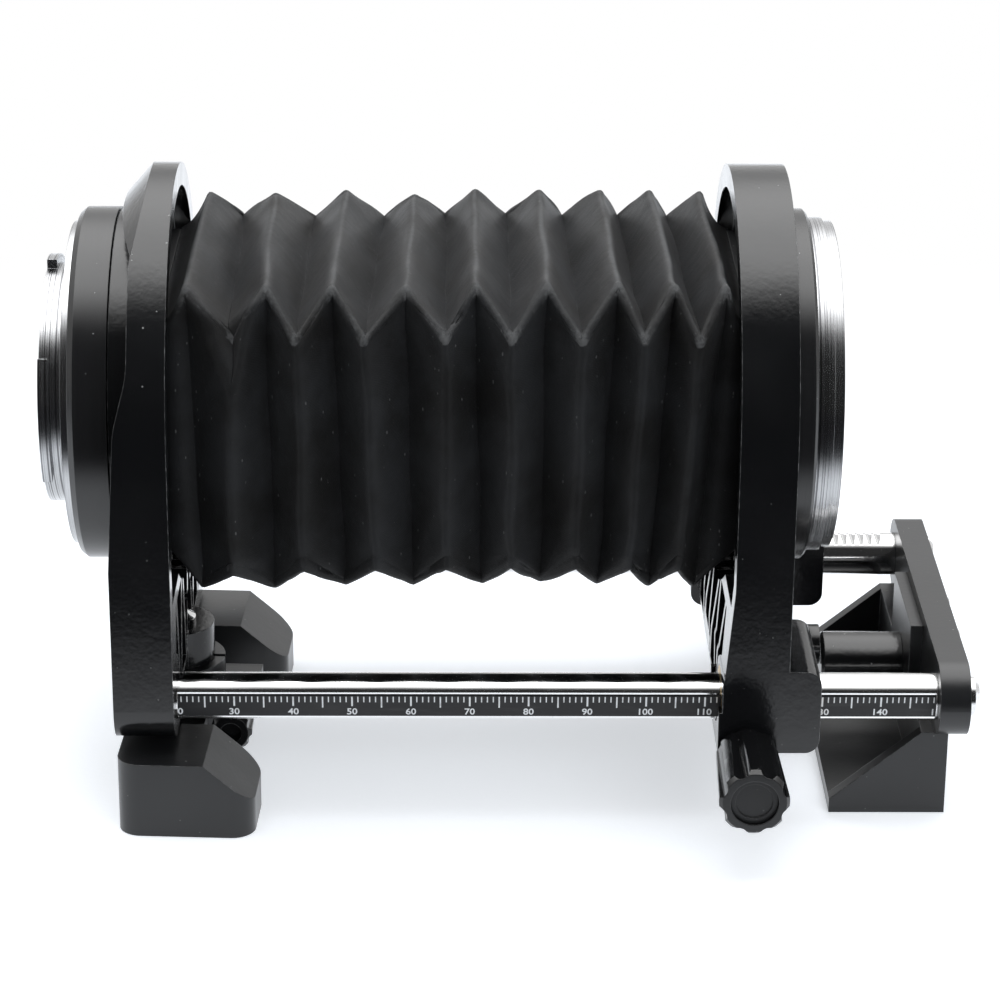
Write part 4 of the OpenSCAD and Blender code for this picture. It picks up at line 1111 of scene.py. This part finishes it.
class BELLOWS_OT_castings(Step, bpy.types.Operator):
    """Paints the two standards, the end bar, the foot, the stop and the tripod base"""

    bl_idname = "bellows.castings"
    bl_label = "Painted castings"

    def dress(self, look):
        radius = look.edge_radius
        gloss = painted(
            "Gloss enamel", look.enamel, radius, rough=0.15, peel=0.000026, dust=1.0, worn=0.9
        )
        satin = painted(
            "Satin paint", look.satin, radius, rough=0.30, peel=0.000014, dust=0.8, worn=0.6
        )
        wear_finish(["rear_standard", "front_standard", "stop_post"], gloss)
        wear_finish(["end_bar", "end_foot", "tripod_base"], satin)


class BELLOWS_OT_rings(Step, bpy.types.Operator):
    """Finishes the black turned rings and the thin frames of the cloth"""

    bl_idname = "bellows.rings"
    bl_label = "Black rings"

    def dress(self, look):
        ring = turned_black("Black ring", look.anodised, rough=0.24)
        wear_finish(["camera_ring", "lens_ring", "camera_retaining_ring"], ring)
        plate = moulded("Frame black", look.satin, rough=0.5, spread=0.2)
        wear_finish(["rear_bellows_frame", "front_bellows_frame"], plate)


class BELLOWS_OT_mounts(Step, bpy.types.Operator):
    """Finishes the chromed mounts of camera and lens"""

    bl_idname = "bellows.mounts"
    bl_label = "Chromed mounts"

    def dress(self, look):
        mount = turned_chrome("Mount chrome", look.satin_chrome, rough=0.22)
        wear_finish(["camera_bayonet", "lens_bayonet"], mount)
        spring = plain_metal("Spring steel", look.steel, rough=0.25, dark=grey(0.25))
        wear_finish(["lens_spring_ring"], spring)


class BELLOWS_OT_rails(Step, bpy.types.Operator):
    """Finishes the two chromed rails and the bushes that run on them"""

    bl_idname = "bellows.rails"
    bl_label = "Rails and bushes"

    def dress(self, look):
        wear_finish(["front_rail", "rack_rail"], drawn_chrome("Rail chrome", look.chrome))
        brass = plain_metal("Brass", look.brass, rough=0.3, dark=(0.30, 0.20, 0.09))
        bushes = ["front_rail_bushes", "rack_rail_bushes", "pinion_bush"]
        wear_finish(bushes + ["lock_pad", "tripod_thread_insert"], brass)


class BELLOWS_OT_knobs(Step, bpy.types.Operator):
    """Finishes the fluted knobs and their caps"""

    bl_idname = "bellows.knobs"
    bl_label = "Knobs"

    def dress(self, look):
        gloss = moulded("Knob plastic", look.plastic, rough=0.13, spread=0.12)
        matt = moulded("Cap plastic", look.cap, rough=0.45, spread=0.2)
        wear_finish(["lock_knob", "focus_knob", "clamp_knob"], gloss)
        wear_finish(["lock_knob_cap", "focus_knob_cap"], matt)


class BELLOWS_OT_fasteners(Step, bpy.types.Operator):
    """Finishes the screws, the shafts, the swivel post and the lens release"""

    bl_idname = "bellows.fasteners"
    bl_label = "Screws and shafts"

    def dress(self, look):
        bright = plain_metal("Screw chrome", look.chrome, rough=0.16, dark=(0.35, 0.35, 0.36))
        steel = plain_metal("Steel", look.steel, rough=0.28, dark=grey(0.22))
        by_slot = {"screw_chrome": bright, "steel": steel}
        for mesh_object in NODES.values():
            for slot in mesh_object.material_slots:
                if slot.material is not None and slot.material.name in by_slot:
                    slot.material = by_slot[slot.material.name]


class BELLOWS_OT_stage(Step, bpy.types.Operator):
    """Sets the camera, the pale floor and the soft light"""

    bl_idname = "bellows.stage"
    bl_label = "Studio"
    settings_name = "bellows_stage"

    def dress(self, settings):
        bpy.context.scene.view_settings.view_transform = "Standard"
        self.place_camera(settings)
        self.lay_floor(settings)
        self.hang_lights(settings)
        self.light_world()

    def place_camera(self, settings):
        """The camera looks along +Y, down by the pitch."""
        camera = bpy.data.cameras.new("camera")
        camera.lens = settings.lens
        camera.sensor_width = 36.0
        camera.clip_start = 0.01
        holder = new_object("camera", camera)
        turn = Matrix.Rotation(settings.yaw, 4, "Z")
        tip = Matrix.Rotation(math.pi / 2 - settings.pitch, 4, "X")
        lean = Matrix.Rotation(settings.roll, 4, "Z")
        holder.matrix_world = Matrix.Translation(settings.eye) @ turn @ tip @ lean
        bpy.context.scene.camera = holder

    def lay_floor(self, settings):
        """A wide square sheet of paper, just under the feet."""
        low = CAD_BOX[0][2] - 0.0001
        corners = [(FLOOR * x, FLOOR * y, low) for x, y in ((-1, -1), (1, -1), (1, 1), (-1, 1))]
        floor = new_object("floor", surface_mesh("floor", corners, [(0, 1, 2, 3)]))
        floor.data.materials.append(self.paper(settings))

    def paper(self, settings):
        """Pale paper that goes over to plain white away from the unit, as a lit sweep does.
        Reflections see the floor in front painted near black: a painted dark reflection.
        """
        net = Finish("Paper")
        place = net.place()
        x, y = net.parts(place)[:2]
        away = net.distance(net.math("SUBTRACT", x, MIDDLE_X), y)
        rays = net.node("ShaderNodeLightPath").outputs
        fibre = net.noise(place, 700.0, 3.0)
        pale = net.cover(rgb(settings.floor), fibre, 0.05, grey(0.7))
        seen = net.seen(rays)
        lift = net.between(rays["Is Glossy Ray"], net.times(seen, 0.55), 0.7)
        glow = net.glow((0.93, 0.96, 1.0, 1), lift)
        lit = net.first("ShaderNodeAddShader", {0: net.surface.outputs[0], 1: glow})
        far = net.times(net.step(away, *SWEEP_RADII), seen)
        swept = net.first("ShaderNodeMixShader", {0: far, 1: lit, 2: net.glow(grey(1.0), 1.0)})
        # painted dark reflection: glossy rays see the pale floor in front as near black
        mirrored = net.times(rays["Is Glossy Ray"], net.step(y, *PAINTED_DARK_REFLECTION_Y))
        painted_dark_reflection = net.glow((0.02, 0.02, 0.022, 1), 1.0)
        whole = net.first("ShaderNodeMixShader", {0: mirrored, 1: swept, 2: painted_dark_reflection})
        net.show(whole)
        return net.done(
            Base_Color=pale,
            Roughness=0.75,
            Specular_IOR_Level=0.1,
            Normal=net.bump(fibre, 0.00003),
        )

    def hang_lights(self, settings):
        """One large soft light above and behind, and a weak one in front.

        Each has its name, power, width and height, and its place.
        """
        for name, power, size, at in (
            ("top_light", settings.top_power, (1.5, 1.0), (0.0, 0.25, 1.15)),
            ("fill_light", settings.fill_power, (0.9, 0.6), (0.62, -1.0, 0.5)),
        ):
            lamp = bpy.data.lights.new(name, "AREA")
            lamp.shape = "RECTANGLE"
            lamp.size, lamp.size_y = size
            lamp.energy = power
            lamp.color = LAMP_COLOUR
            holder = new_object(name, lamp)
            aim = Vector(LAMP_AIM) - Vector(at)
            turn = aim.to_track_quat("-Z", "Y").to_matrix().to_4x4()
            holder.matrix_world = Matrix.Translation(at) @ turn
            holder.visible_glossy = False
            holder.visible_camera = False

    def light_world(self):
        """White to the camera. Mirrored, it is bright above and behind, and dark in front."""
        world = bpy.data.worlds.new("studio")
        world.cycles.sampling_method = "NONE"
        bpy.context.scene.world = world
        world.use_nodes = True
        world.node_tree.nodes.clear()
        net = Net(world.node_tree)
        toward = net.node("ShaderNodeTexCoord").outputs["Generated"]
        x, y, z = net.parts(toward)[:3]
        sides = net.step(net.math("ABSOLUTE", x), 0.40, 0.80, 0.0, 0.85)
        open_sky = net.math("MAXIMUM", net.step(y, -0.62, -0.06), sides)
        bright = net.step(z, 0.3, 1.0, 0.85, 4.6)
        mirrored = net.between(open_sky, 0.03, bright)
        soft = net.between(net.step(z, -0.2, 0.9), 0.14, 0.42)
        rays = net.node("ShaderNodeLightPath").outputs
        seen = net.seen(rays)
        other = net.between(rays["Is Glossy Ray"], soft, mirrored)
        strength = net.between(seen, other, 1.0)
        light = net.first("ShaderNodeBackground", {"Color": grey(1.0), "Strength": strength})
        net.node("ShaderNodeOutputWorld", {"Surface": light})


# ------------------------------------------------------------------ add-on

OPERATORS = (
    BELLOWS_OT_cloth,
    BELLOWS_OT_marks,
    BELLOWS_OT_castings,
    BELLOWS_OT_rings,
    BELLOWS_OT_mounts,
    BELLOWS_OT_rails,
    BELLOWS_OT_knobs,
    BELLOWS_OT_fasteners,
    BELLOWS_OT_stage,
)

SETTINGS = {
    "bellows_cloth": ClothSettings,
    "bellows_finish": FinishSettings,
    "bellows_scale": ScaleSettings,
    "bellows_stage": StageSettings,
}


class BELLOWS_PT_dressing(bpy.types.Panel):
    """Lists the steps that dress the unit and their settings"""

    bl_idname = "BELLOWS_PT_dressing"
    bl_label = "Macro bellows"
    bl_space_type = "VIEW_3D"
    bl_region_type = "UI"
    bl_category = "Bellows"

    def draw(self, context):
        for operator in OPERATORS:
            self.layout.operator(operator.bl_idname)
        for name, group in SETTINGS.items():
            box = self.layout.box()
            for prop in group.__annotations__:
                box.prop(getattr(context.scene, name), prop)


def register():
    for group in SETTINGS.values():
        bpy.utils.register_class(group)
    for name, group in SETTINGS.items():
        setattr(bpy.types.Scene, name, bpy.props.PointerProperty(type=group))
    for operator in OPERATORS:
        bpy.utils.register_class(operator)
    bpy.utils.register_class(BELLOWS_PT_dressing)


def unregister():
    bpy.utils.unregister_class(BELLOWS_PT_dressing)
    for operator in reversed(OPERATORS):
        bpy.utils.unregister_class(operator)
    for name, group in SETTINGS.items():
        delattr(bpy.types.Scene, name)
        bpy.utils.unregister_class(group)


def main():
    """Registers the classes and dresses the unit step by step."""
    register()
    for operator in OPERATORS:
        step = operator.bl_idname.split(".")[1]
        done = getattr(bpy.ops.bellows, step)()
        if done != {"FINISHED"}:
            raise RuntimeError(f"{operator.bl_label} didn't finish")


if __name__ == "__main__":
    main()
